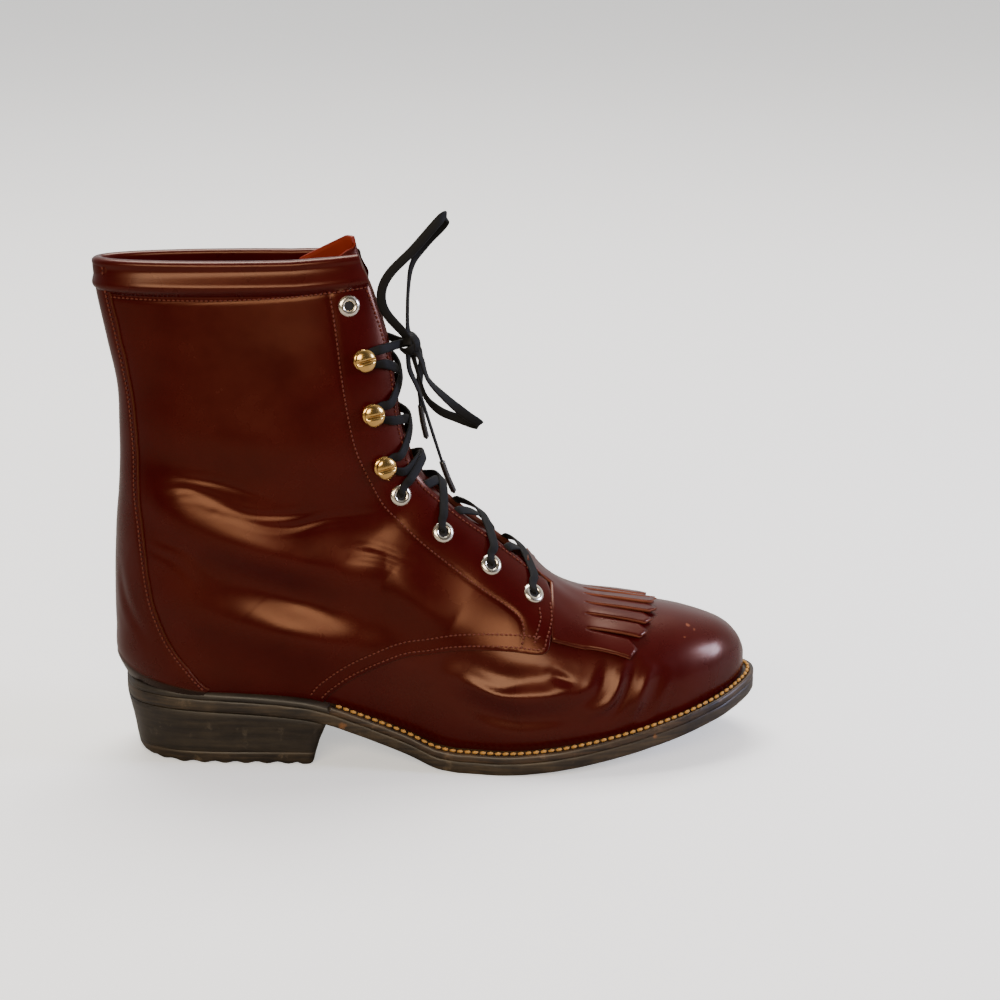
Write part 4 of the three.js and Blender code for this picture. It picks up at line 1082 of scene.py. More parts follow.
def add_stitches(bm, points, normals, pitch, radius, length, sink, lean=0.0):
    """Short threads along a line of points, each a squashed ball half sunk in the leather."""
    points = np.asarray(points, float)
    walked = walk(points)
    count = max(int(walked[-1] / pitch), 1)
    for k in range(count):
        at = (k + 0.5) * walked[-1] / count
        p = np.array([np.interp(at, walked, points[:, c]) for c in range(3)])
        n = unit(np.array([np.interp(at, walked, normals[:, c]) for c in range(3)]))
        q = np.array([np.interp(at + 0.6, walked, points[:, c]) for c in range(3)])
        o = np.array([np.interp(at - 0.6, walked, points[:, c]) for c in range(3)])
        along = unit(q - o)
        across = np.cross(n, along)
        along = unit(along + across * lean)
        across = np.cross(n, along)
        made = bmesh.ops.create_icosphere(bm, subdivisions=1, radius=1)["verts"]
        centre = p + n * (radius * (1 - sink))
        basis = Matrix((
            (along[0], across[0], n[0]), (along[1], across[1], n[1]), (along[2], across[2], n[2]),
        ))
        size = Matrix.Diagonal((length / 2, radius, radius))
        bmesh.ops.transform(bm, matrix=(Matrix.Scale(MM, 4) @ (basis @ size).to_4x4()), verts=made)
        bmesh.ops.translate(bm, vec=Vector(to_row(centre)), verts=made)


def make_upper_stitches(sizes):
    bm = bmesh.new()
    edge = smooth_line(above_feather(QUARTER_EDGE[3:]), 1.0)
    strap = smooth_line(above_heel(STRAP_EDGE), 1.0)
    for side in SIDES.values():
        skin = skin_of(side)
        rows = [
            (smooth_line(SEAMS["collar"], 1.0), QUARTER_STEP + 0.1),
            (smooth_line(SEAMS["eyestay"], 1.0), QUARTER_STEP + 0.05),
            (line_offset(edge, -1.6), QUARTER_STEP),
            (line_offset(edge, -6.8), QUARTER_STEP),
            (line_offset(strap, -1.8), QUARTER_STEP + 0.95),
        ]
        for line, lift in rows:
            line = line[line[:, 1] > feather(line[:, 0]) + 0.8]
            points, normals = skin.on(line)
            height = lift + crease_height(points, side) * 0.85
            add_stitches(bm, points + normals * height[:, None], normals, sizes.seam_pitch / MM, 0.5,
                         0.9 * sizes.seam_pitch / MM, 0.35)
        throat = throat_line(side, 1.9)
        add_stitches(bm, throat[0], throat[1], sizes.seam_pitch / MM, 0.46, 0.86 * sizes.seam_pitch / MM, 0.35)
    new_piece("upper_stitches", bm, MATERIALS["seam thread"])


def throat_line(side, inset):
    """The row of stitches along the facing's edge."""
    skin = skin_of(side)
    points, normals = [], []
    for s in np.linspace(8.3, 22.1, 170):
        share = skin.share_at_width(s, throat_half(s)) + inset / skin_length(skin, s)
        p, n = skin.at(np.array([s]), np.array([share]))
        points.append(p[0] + n[0] * (QUARTER_STEP + 0.1))
        normals.append(n[0])
    return np.array(points), np.array(normals)


def skin_length(skin, station):
    return float(np.interp(station, skin.stations, skin.length))


# ---- tongue and kiltie ------------------------------------------------------------------------------------------


def front_point(station, y, offset=0.0):
    """Point and normal on the front of the form at a distance to one side of the middle."""
    side = LATERAL if y < 0 else MEDIAL
    skin = skin_of(side)
    share = skin.share_at_width(station, abs(y))
    p, n = skin.at(np.array([station]), np.array([share]))
    return p[0] + n[0] * offset, n[0]


def make_tongue():
    """Tongue inside the throat, its top edge sloping back, with a red lining."""
    rows, columns = 130, 22
    front = 0.393 * SOLE_LENGTH
    slope_x, slope_z = (0.6 * front, 0.93 * front), (COLLAR - 10, COLLAR + 10)
    halves = []
    for side in SIDES.values():
        skin = skin_of(side)
        limits = []
        for s in skin.stations:
            line = skin.sample(skin.points, np.full(len(skin.around), s), skin.around)
            past = (np.abs(line[:, 1]) > 20.5) | (line[:, 0] < line[0, 0] - 31)
            limits.append(skin.around[max(int(np.argmax(past)), 2)])
        half = np.empty((rows, columns, 3))
        for j, part in enumerate(np.linspace(0, 1, columns)):
            climb = np.linspace(18, LAST, 200)
            share = part * np.interp(climb, skin.stations, limits)
            high, _ = skin.at(climb, share)
            over = high[:, 2] - np.interp(high[:, 0], slope_x, slope_z)
            if side == LATERAL:
                over += 7.0 * (1 - math.exp(-7 * part))
            top = np.interp(0, over, climb) if over[-1] > 0 else LAST
            at = np.linspace(8.2, top, rows)
            p, n = skin.at(at, part * np.interp(at, skin.stations, limits))
            sag = 0.35 * np.sin(at * 2.3 + part * 2) + 0.3 * np.sin(at * 1.3 - part * 3 * side)
            half[:, j] = p - n * (WALL + SEAT_GAP + 1.1 + np.maximum(0, 0.35 + sag) * 0.7)[:, None]
        halves.append(half)
    bm = bmesh.new()
    add_grid(bm, np.concatenate([halves[0][:, ::-1], halves[1][:, 1:]], 1))
    close_seams(bm)
    face_way(bm, (1, 0, 0.5))
    piece = new_piece("tongue_leather", bm, [MATERIALS["tongue"], MATERIALS["red lining"]],
                      ["tongue"])
    thicken(piece, 1.8)
    piece.modifiers["Thickness"].material_offset = 1


def drape(x, y, offset):
    """A point over the vamp seen from above, a given way off the skin."""
    stations = np.linspace(1.5, 9.5, 90)
    table = drape.cache.get(round(y, 3))
    if table is None:
        found = [front_point(s, y) for s in stations]
        table = (np.array([p for p, _ in found]), np.array([n for _, n in found]))
        drape.cache[round(y, 3)] = table
    points, normals = table
    order = np.argsort(points[:, 0])
    p = np.array([np.interp(x, points[order, 0], points[order, k]) for k in range(3)])
    n = unit(np.array([np.interp(x, points[order, 0], normals[order, k]) for k in range(3)]))
    return p + n * offset


drape.cache = {}

KILTIE_ROOT = 206.2
KILTIE_LENGTH = 52
KILTIE_HALF = 34
KILTIE_STRIPS = 9


def make_kiltie():
    """Fringed flap: a solid upper part and strips, a little lifted and uneven, with pale cut edges."""
    rng = random.Random(7)
    bm = bmesh.new()
    pitch = 2 * KILTIE_HALF / KILTIE_STRIPS
    across = 7
    root_rows = 12
    body = 0.3 * KILTIE_LENGTH
    columns = np.linspace(-KILTIE_HALF, KILTIE_HALF, KILTIE_STRIPS * (across - 1) + 1)
    thickness = 1.4
    lift = SEAT_GAP + thickness

    def place(x, y, raise_by):
        return drape(x, y, lift + raise_by)

    grid = np.array([[place(KILTIE_ROOT + body * t - 3, y, 0.1 * math.sin(y * 0.5 + t * 3)) for y in columns]
                     for t in np.linspace(0, 1, root_rows)])
    add_grid(bm, grid)
    middle = columns[np.abs(columns) < 7.9]
    add_grid(bm, np.array([[place(KILTIE_ROOT - 3 - 12 * t, y, 0.1 * math.sin(y * 0.5) + 1.2 * t**2) for y in middle]
                           for t in np.linspace(0, 1, 10)]))
    for k in range(KILTIE_STRIPS):
        off = abs((k + 0.5) / KILTIE_STRIPS - 0.5) * 2
        tip = KILTIE_LENGTH * (1 - 0.28 * off**2) + rng.uniform(-0.8, 0.8)
        left = -KILTIE_HALF + k * pitch
        curl = rng.uniform(0.0, 0.9)
        twist = rng.uniform(0.9, 1.5) * (1 if k < 6 else -0.6)
        sway = rng.uniform(-0.6, 0.6)
        rows = 18
        strip = np.empty((rows, across, 3))
        for i, t in enumerate(np.linspace(0, 1, rows)):
            narrow = 0.95 - 0.04 * min(1, t * 4)
            for j in range(across):
                w = j / (across - 1) - 0.5
                point = 1 - abs(w) * 2
                x = KILTIE_ROOT - 3 + body + (tip - body - pitch * 0.5) * t + pitch * 0.5 * t**3 * point
                y = left + pitch * (0.5 + w * (narrow if t > 0 else 1)) + sway * t**2
                rise = math.sin(min(1, t * 1.4) * math.pi / 2) * (0.45 - twist * w) - 0.1
                wave = 0.1 * math.sin(y * 0.5 + 3) * (1 - t)
                strip[i, j] = place(x, y, curl * t**2 + max(rise, -0.35) * min(1, t * 6) + wave)
        add_grid(bm, strip)
    close_seams(bm)
    face_way(bm, (0, 0, 1))
    flap = new_piece("fringed_kiltie", bm, [MATERIALS["fringe"], MATERIALS["cut leather"]],
                     ["kiltie"], sharp=50)
    thicken(flap, thickness)


# ---- sole -------------------------------------------------------------------------------------------------------


def outline(count=420):
    corners = SOLE_OUTLINE * (SOLE_LENGTH, BALL_WIDTH)
    loop = np.vstack([corners[-2:], corners, corners[:3]])
    dense = catmull(loop, np.linspace(2, 2 + len(corners), 40 * len(corners) + 1))
    walked = walk(dense)
    at = np.linspace(0, walked[-1], count + 1)
    return places_at(at, walked, dense)


def outline_normals(line):
    along = np.gradient(line, axis=0)
    along[0] = along[-1] = (line[1] - line[-2]) / 2
    along = unit(along)
    return np.stack([-along[:, 1], along[:, 0]], -1)


def spine(line, share):
    """The outline shrunk towards the sole's middle line."""
    x = np.clip(line[:, 0], 34, SOLE_LENGTH - 44)
    middle = np.stack([x, 0.02 * BALL_WIDTH * np.clip((line[:, 0] - 120) / 180, 0, 1)], -1)
    return line + (middle - line) * share


def closed_piece(name, rings, material, replaced):
    """A closed shell over rings of points, of one material."""
    bm = bmesh.new()
    add_grid(bm, np.array(rings))
    close_seams(bm)
    face_out(bm)
    new_piece(name, bm, MATERIALS[material], replaced)


# Rings of the sole's layers: way in from the outline, height and, for the outsole, share of the way to its middle
OUTSOLE_PROFILE = [
    (0, 0.0, 0.98), (0, 0.0, 0.55), (6, 0.0, 0), (1.2, 0.0, 0), (0.4, 0.2, 0), (0.06, 0.8, 0), (0.0, 2.4, 0),
    (0.0, 4.6, 0), (0.1, 5.6, 0), (0.45, 6.05, 0), (1.6, 6.1, 0), (8, 6.1, 0), (0, 6.1, 0.55), (0, 6.1, 0.98),
]
WELT_PROFILE = [
    (13.5, 0), (1, 0), (0.25, -0.1), (0.05, 0.3), (0, 1), (0, 2.2), (0.3, 3), (0.8, 3.4), (1.4, 3.5), (1.8, 3.25),
    (2.7, 3.1), (3.5, 3.3), (4, 3.5), (13.5, 3.5),
]
RAND_PROFILE = [
    (11, 0), (1, 0), (0.25, -0.1), (0.05, 0.3), (0.05, 1.6), (0.5, 2.5), (1.6, 3.2), (3, 3.5), (11, 3.5),
]
WELT_THREAD_INSET = 2.7
WELT_THREAD_PITCH = 3.6


def make_outsole():
    """Outsole sheet with a rounded, worn edge."""
    line = outline()
    out = outline_normals(line)
    rings = []
    for inset, height, shrink in OUTSOLE_PROFILE:
        flat = line - out * inset
        if shrink:
            flat = spine(line, shrink)
        wobble = 0.12 * np.sin(line[:, 0] * 0.37) * np.sin(line[:, 0] * 0.091 + 1)
        flat = flat - out * (wobble[:, None] if 0 < height < 6 else 0)
        z = underside(flat[:, 0]) + height
        rings.append(np.column_stack([flat, z]))
    closed_piece("outsole_sheet", rings, "outsole", ["outsole"])


def make_welt():
    """Welt from the heel's breast round the toe, grooved for its stitches, and the rand round the heel seat."""
    line = outline(520)
    out = outline_normals(line)
    breast = HEEL_LENGTH + BREAST_RAKE
    for name, replaced, material, fore in (
        ("welt_strip", ["welt"], "welt", True), ("heel_seat_rand_strip", ["heel_seat_rand"], "heel", False),
    ):
        pick = line[:, 0] > breast if fore else line[:, 0] < breast + 0.3
        low = OUTSOLE + SEAT_GAP
        if fore:
            start = int(np.argmax(pick))
            end = len(pick) - int(np.argmax(pick[::-1]))
            run = np.arange(start, end)
            profile = WELT_PROFILE
        else:
            start = int(np.argmax(~pick))
            end = len(pick) - int(np.argmax((~pick)[::-1]))
            run = np.concatenate([np.arange(end - 1, len(line) - 1), np.arange(0, start + 1)])
            profile = RAND_PROFILE
        rings = []
        for inset, height in profile:
            flat = line[run] - out[run] * inset
            rings.append(np.column_stack([flat, underside(flat[:, 0]) + low + height]))
        bm = bmesh.new()
        add_grid(bm, np.array(rings))
        close_ends(bm)
        new_piece(name, bm, MATERIALS[material], replaced)


def make_welt_stitches():
    line = outline(1200)
    out = outline_normals(line)
    flat = line - out * WELT_THREAD_INSET
    run = flat[line[:, 0] > HEEL_LENGTH + 10]
    points = np.column_stack([run, underside(run[:, 0]) + OUTSOLE + SEAT_GAP + 3.2])
    slope = np.gradient(underside(np.arange(0, 310)))
    tilt = np.interp(points[:, 0], np.arange(0, 310), slope)
    normals = unit(np.column_stack([-tilt, np.zeros(len(tilt)), np.ones(len(tilt))]))
    bm = bmesh.new()
    gaps = np.linalg.norm(np.diff(points, axis=0), axis=1)
    breaks = [0, *[int(k) + 1 for k in np.nonzero(gaps > 5)[0]], len(points)]
    for a, b in zip(breaks[:-1], breaks[1:]):
        if b - a > 4:
            add_stitches(bm, points[a:b], normals[a:b], WELT_THREAD_PITCH, 0.92, 3.5, 0.15, lean=0.14)
    new_piece("welt_stitches", bm, MATERIALS["welt thread"])


def heel_ring(z, count=150):
    line = outline(900)[:-1]
    rear = line[line[:, 0] <= HEEL_LENGTH]
    bearing = np.arctan2(rear[:, 1], HEEL_LENGTH - rear[:, 0])
    rear = rear[np.argsort(bearing)]
    share = 1 - z / HEEL_LIFT
    inset = HEEL_TAPER * max(share, 0)
    pull = inset / (BALL_WIDTH / 2)
    x = rear[:, 0] + inset * 1.3 * (1 - rear[:, 0] / HEEL_LENGTH)
    y = rear[:, 1] * (1 - pull)
    breast = HEEL_LENGTH + BREAST_RAKE * (1 - share)
    sides = np.column_stack([x, y])
    front = np.array([(breast, y[-1]), (breast, y[0])])
    loop = np.vstack([sides, front])
    closed = np.vstack([loop, loop[:1]])
    walked = walk(closed)
    at = np.linspace(0, walked[-1], count + 1)
    even = places_at(at, walked, closed)[:-1]
    for _ in range(2):
        even = 0.25 * np.roll(even, 1, 0) + 0.5 * even + 0.25 * np.roll(even, -1, 0)
    return np.vstack([even, even[:1]])


# Levels of the heel: height and way in from its outline
LIFT_TOP, STACK_TOP = 6.6, 28.9
STACK_LEVELS = [
    (LIFT_TOP, 0.5), (6.65, 0.12), (7.0, 0.02), (10, 0.1), (13, 0.25), (16, 0.3), (19, 0.25), (22, 0.15), (26, 0.05),
    (28.6, 0.02), (STACK_TOP, 0.3),
]
LIFT_LEVELS = [(0.0, 2.0), (0.15, 1.0), (0.8, 0.3), (1.8, 0.05), (3.2, 0.0), (5.0, 0.02), (6.3, 0.05), (6.5, 0.4)]
GROOVE_PITCH = 10
WORN_DEPTH = 5.2


def heel_shell(levels):
    """Rings and heights of a closed shell over the heel's outline."""
    centre = np.array([48.0, 0.0])
    rings = []
    for z, inset in levels:
        ring = heel_ring(z)
        rings.append((ring - unit(ring - centre) * inset, z))
    (low, low_z), (high, high_z) = rings[0], rings[-1]
    inner = [(low + (centre - low) * k, low_z) for k in (0.98, 0.5)]
    outer = [(high + (centre - high) * k, high_z) for k in (0.5, 0.98)]
    return inner + rings + outer


def make_heel():
    """Stacked heel block and its grooved top lift, worn round at the back."""
    grid = []
    for ring, z in heel_shell(STACK_LEVELS):
        under_seat = underside(np.clip(ring[:, 0], 0, 110)) - 0.1
        height = LIFT_TOP + (z - LIFT_TOP) / (STACK_TOP - LIFT_TOP) * (under_seat - LIFT_TOP)
        grid.append(np.column_stack([ring, height]))
    closed_piece("heel_block", grid, "heel", ["heel_stack"])
    grid = []
    for ring, z in heel_shell(LIFT_LEVELS):
        worn = WORN_DEPTH * np.clip((26 - ring[:, 0]) / 26, 0, 1) ** 2
        tread = 1.1 * (0.5 - 0.5 * np.cos(2 * np.pi * (ring[:, 0] - 18) / GROOVE_PITCH)) * (ring[:, 0] > 14)
        tread *= ring[:, 0] < 84
        low = np.where(z < 2.6, (worn + tread) * (1 - z / 2.6), 0)
        grid.append(np.column_stack([ring, z + low]))
    closed_piece("heel_tread_lift", grid, "outsole", ["heel_top_lift"])


def make_insole():
    line = outline(240)
    rings = []
    for share in (0.98, 0.8, 0.6, 0.42, 0.3, 0.0):
        flat = spine(line - outline_normals(line) * 9, share)
        z = underside(flat[:, 0]) + EDGE + SEAT_GAP + 3
        rings.append(np.column_stack([flat, z]))
    low = rings[-1].copy()
    low[:, 2] -= 2.8
    rings.append(low)
    closed_piece("footbed", rings, "insole", ["insole"])


# ---- lacing -----------------------------------------------------------------------------------------------------


def throat_half(station):
    """Half the throat's gap: the facings draw together under the collar."""
    share = min(max((station - 16.5) / 4, 0), 1)
    return THROAT_HALF - 2.7 * share * share * (3 - 2 * share)


def facing_frame(station, side, inset=EYELET_INSET, lift=QUARTER_STEP):
    """Place on the facing with its directions: up the boot, out of the leather and towards the throat."""
    skin = skin_of(side)
    share = skin.share_at_width(station, throat_half(station)) + inset / skin_length(skin, station)
    here, n = skin.at(np.array([station]), np.array([share]))
    ahead, _ = skin.at(np.array([station + 0.1]), np.array([share]))
    point, n = here[0] + n[0] * lift, n[0]
    up = unit(ahead[0] - here[0])
    up = unit(up - n * float(up @ n))
    throat = np.cross(up, n) * (1 if np.cross(up, n)[1] * side < 0 else -1)
    return point, up, n, unit(throat)


def spun(bm, profile, centre, axis, across, segments=32):
    """A turned ring: profile points of radius and height round an axis."""
    verts = [bm.verts.new(to_row(centre + across * r + axis * h)) for r, h in profile]
    edges = [bm.edges.new((a, b)) for a, b in zip(verts[:-1], verts[1:])]
    bmesh.ops.spin(bm, geom=verts + edges, cent=Vector(to_row(centre)), axis=Vector(axis), dvec=(0, 0, 0),
                   angle=2 * math.pi, steps=segments, use_merge=True, use_duplicate=False)


# Eyelet's ring: radius and height over the leather
EYELET_PROFILE = [
    (2.0, -2.6), (2.0, -0.2), (2.2, 0.45), (2.7, 0.95), (3.3, 1.12), (4.0, 1.0), (4.6, 0.7), (5.05, 0.25),
    (5.2, -0.1), (5.1, -0.35),
]
HOOK_FOOT = [(0.01, 1.1), (2.2, 1.1), (4.0, 0.9), (5.0, 0.45), (5.1, 0.0), (4.9, -0.3)]


def make_eyelets():
    for name, side in SIDES.items():
        bm = bmesh.new()
        dark = bmesh.new()
        for station in EYELET_STATIONS:
            point, _, n, throat = facing_frame(station, side)
            spun(bm, EYELET_PROFILE, point, n, throat)
            # A near-black disc over the hole: painted shade in place of the shadow inside the eyelet
            made = bmesh.ops.create_circle(dark, cap_ends=True, cap_tris=False, segments=20, radius=2.3 * MM)["verts"]
            turn = Vector((0, 0, 1)).rotation_difference(Vector(n)).to_matrix()
            bmesh.ops.transform(dark, matrix=turn.to_4x4(), verts=made)
            bmesh.ops.translate(dark, vec=Vector(to_row(point + n * 0.25)), verts=made)
        close_seams(bm, 0.005)
        face_out(bm)
        new_piece(f"eyelets_{name}", bm, MATERIALS["nickel"],
                  [f"eyelet_{name}_{k + 1}" for k in range(5)])
        face_out(dark)
        new_piece(f"eyelet_hole_painted_shade_{name}", dark, MATERIALS["dark"])


def make_hooks():
    """Lacing hooks: a round foot, a neck on the throat's side and a domed cap with a groove over its middle."""
    for name, side in SIDES.items():
        bm = bmesh.new()
        for station in HOOK_STATIONS:
            point, up, n, throat = facing_frame(station, side, HOOK_INSET)
            spun(bm, HOOK_FOOT, point, n, throat, 24)
            neck = bmesh.ops.create_uvsphere(bm, u_segments=16, v_segments=10, radius=1)["verts"]
            frame_matrix = Matrix((
                (throat[0], up[0], n[0]), (throat[1], up[1], n[1]), (throat[2], up[2], n[2]),
            ))
            for v in neck:
                v.co = Vector((v.co.x * 1.5 + 2.6, v.co.y * 3.2, v.co.z * 2.4 + 2.2))
            cap = bmesh.ops.create_uvsphere(bm, u_segments=24, v_segments=40, radius=1)["verts"]
            for v in cap:
                co = Vector((v.co.x, v.co.z, -v.co.y))
                groove = 1 - 0.75 * math.exp(-(((co.y + 0.08) / 0.12) ** 2)) * (co.z > 0)
                dome = 1.9 if co.z > 0 else 0.5
                v.co = Vector((co.x * 5.1 - 0.2, co.y * 5.4 * (1 - 0.06 * co.x), 3.6 + co.z * dome * groove))
            for v in neck + cap:
                v.co = frame_matrix @ (v.co * MM)
                v.co += Vector(to_row(point))
        close_seams(bm, 0.002)
        face_out(bm)
        new_piece(f"hooks_{name}", bm, MATERIALS["brass"], [f"hook_{name}_{k + 1}" for k in range(3)])


def lace_strand(bm, sizes, points, flats, widths, step=0.8):
    """A flat lace along a path; its widths are typed for a 4.8 mm lace."""
    thick = sizes.lace_thickness / MM
    points = np.asarray(points, float)
    flats = np.asarray(flats, float)
    widths = np.broadcast_to(np.asarray(widths, float), len(points)) * sizes.lace_width / (4.8 * MM)
    joined = np.column_stack([points, flats, widths])
    dense = catmull(joined, np.linspace(0, len(points) - 1, 16 * (len(points) - 1) + 1))
    walked = walk(dense[:, :3])
    count = max(int(walked[-1] / step), 3)
    at = np.linspace(0, walked[-1], count + 1)
    even = places_at(at, walked, dense)
    sweep(bm, even[:, :3], even[:, 6], thick, even[:, 3:6], around=12, squareness=3.2)
    return even[:, :3]


def crossing_path(low, high, side, top):
    """Out of an eyelet, over the throat, under the other facing's edge and up to the next eyelet."""
    start, up, n, throat = facing_frame(low, side)
    end, up2, n2, throat2 = facing_frame(high, -side)
    middle, mid_n = front_point((low + high) / 2, 0.001 * side, 0)
    lift = 1.9 if top else 0.6
    points = [
        start - n * 2.6, start - n * 0.2, start + n * 1.35 + up * 0.9 + throat * 0.4,
        start + n * 1.2 + up * 3.0 + throat * 4.0,
        start + n * 1.0 + up * 4.6 + throat * 9.5,
        middle + mid_n * lift,
        end + throat2 * 14.2 - up2 * 3.4 - n2 * 2.0, end + throat2 * 10.0 - up2 * 2.2 - n2 * 4.3,
        end + throat2 * 3.0 - up2 * 0.6 - n2 * 4.4, end - n2 * 3.4,
    ]
    flats = [up, up, up * 0.8 + throat * 0.2, up * 0.9 - throat * 0.35, up * 0.9 - throat * 0.4,
             unit(up + up2), up2 * 0.9 + throat2 * 0.2, up2, up2, up2]
    widths = [2.6, 2.7, 3.2, 4.0, 4.4, 4.6, 4.4, 4.4, 3.6, 2.6]
    return np.array(points), np.array([unit(f) for f in flats]), np.array(widths)


def make_lacing(sizes):
    """Crossings from eyelet to eyelet and, above them, round the necks of the hooks."""
    bm = bmesh.new()
    stops = EYELET_STATIONS[:4]
    for k in range(3):
        for side in (LATERAL, MEDIAL):
            points, flats, widths = crossing_path(stops[k], stops[k + 1], side, side == LATERAL)
            lace_strand(bm, sizes, points, flats, widths)
    start, up, n, throat = facing_frame(stops[0], LATERAL)
    end, up2, n2, throat2 = facing_frame(stops[0], MEDIAL)
    middle, mid_n = front_point(stops[0], 0.001, 0)
    points = [start - n * 3.2, start + throat * 4 - n * 4.2, start + throat * 12 - n * 3.2, middle - mid_n * 1.6,
              end + throat2 * 12 - n2 * 3.2, end + throat2 * 4 - n2 * 4.2, end - n2 * 3.2]
    lace_strand(bm, sizes, points, [up, up, up, unit(up + up2), up2, up2, up2], [2.6, 3.6, 4.4, 4.6, 4.4, 3.6, 2.6])
    lines = [stops[3], *HOOK_STATIONS]
    for k in range(3):
        for side in (LATERAL, MEDIAL):
            low = facing_frame(lines[k], side, EYELET_INSET if k == 0 else HOOK_INSET)
            high = facing_frame(lines[k + 1], -side, HOOK_INSET)
            middle, mid_n = front_point((lines[k] + lines[k + 1]) / 2, 0.001 * side, 0)
            lift = 1.7 if side == LATERAL else 0.4
            p, u, n, t = low
            if k == 0:
                points = [p - n * 2.6, p - n * 0.2, p + n * 1.35 + u * 0.9 + t * 0.4, p + n * 1.2 + u * 3.0 + t * 4.0,
                          p + n * 1.0 + u * 4.6 + t * 9.5]
                flats = [u, u, u, u - t * 0.4, u - t * 0.4]
                widths = [2.6, 2.7, 3.2, 4.0, 4.4]
            else:
                points = [p + n * 1.5 - t * 1.6 + u * 0.8, p + n * 1.5 + t * 0.8 + u * 2.2,
                          p + n * 1.3 + t * 4.4 + u * 3.4, p + n * 1.1 + t * 10.4 + u * 4.6]
                flats = [n * 0.8 + u * 0.3, n * 0.6 + u, u, u - t * 0.3]
                widths = [3.0, 3.2, 4.0, 4.5]
            q, u2, n2, t2 = high
            points += [middle + mid_n * lift, q + n2 * 1.1 + t2 * 10.8 - u2 * 4.6, q + n2 * 1.4 + t2 * 5.0 - u2 * 3.2,
                       q + n2 * 1.5 + t2 * 0.6 - u2 * 2.4, q + n2 * 1.5 - t2 * 1.6 - u2 * 0.8,
                       q + n2 * 1.5 - t2 * 1.6 + u2 * 0.8]
            flats += [unit(u + u2), u2 + t2 * 0.3, u2 * 0.8 + n2 * 0.5, n2 * 0.7 + u2 * 0.5, n2, n2]
            widths += [4.6, 4.4, 4.0, 3.2, 3.0, 3.0]
            lace_strand(bm, sizes, np.array(points), np.array([unit(f) for f in flats]), widths)
    top = [facing_frame(HOOK_STATIONS[-1], side, HOOK_INSET) for side in (LATERAL, MEDIAL)]
    knot = np.array(KNOT, float)
    for (q, u, n, t), side in zip(top, (LATERAL, MEDIAL)):
        points = [q + n * 1.5 - t * 1.6 - u * 0.8, q + n * 1.5 - t * 1.5 + u * 1.0, q + n * 1.5 + t * 1.0 + u * 2.3,
                  q + n * 1.4 + t * 5.0 + u * 3.0, q + n * 1.8 + t * 10.0 + u * 3.0,
                  knot + np.array((-4.2, 2.8 * side, 0.8)), knot + np.array((-1.0, 1.2 * side, 0.6))]
        flats = [n, n * 0.8 + u * 0.3, n * 0.6 + u, u, u, u, u]
        widths = [3.0, 3.0, 3.2, 4.0, 4.4, 4.0, 3.4]
        lace_strand(bm, sizes, np.array(points), np.array([unit(f) for f in flats]), widths)
    close_ends(bm)
    crossings = [f"lace_crossing_{k + 1}" for k in range(6)]
    new_piece("lace_crossings", bm, MATERIALS["lace"], [*crossings, "lace_bottom_bar", "lace_top_bar"])


# Bow: the knot's centre and the middle lines of its loops and ends, from the knot
KNOT = (138.1, -1, 197.6)
LOOP_UP = [
    (137.6, -3, 200.1), (134.5, -4.5, 204.5), (127, -6, 214), (125.2, -7, 223), (129, -7, 232),
    (140, -6, 243), (150, -4, 254), (154.5, -1, 258), (154, 3, 253), (146, 5, 244), (139.5, 5, 234),
    (137.5, 4, 222), (137, 2.5, 207), (137.6, 0.8, 200.8),
]
LOOP_DOWN = [
    (139.8, -3.4, 195.6), (143.3, -5.8, 191.2), (146.5, -8, 182), (155, -9, 173), (164, -8, 165),
    (170, -5, 160), (167.5, -1, 158.5), (160, 1, 161), (152, 1, 164.5), (145.5, 1, 171),
    (142.5, 0.3, 180), (140.4, -0.6, 188), (138.8, -0.4, 194.4),
]
END_OUTER = [
    (137.8, 1.6, 195.3), (137.2, 5, 189.5), (137.8, 7.2, 183), (141, 8, 175), (144, 9, 166),
    (149, 12, 148.5), (154.5, 15, 130), (158.5, 17, 119.5),
]
END_INNER = [
    (139.9, 1.2, 197.1), (142, 5.5, 193), (143, 9.5, 187.5), (142.5, 13, 178), (142.5, 16, 167),
    (143.5, 18, 156), (145.5, 19.5, 146),
]


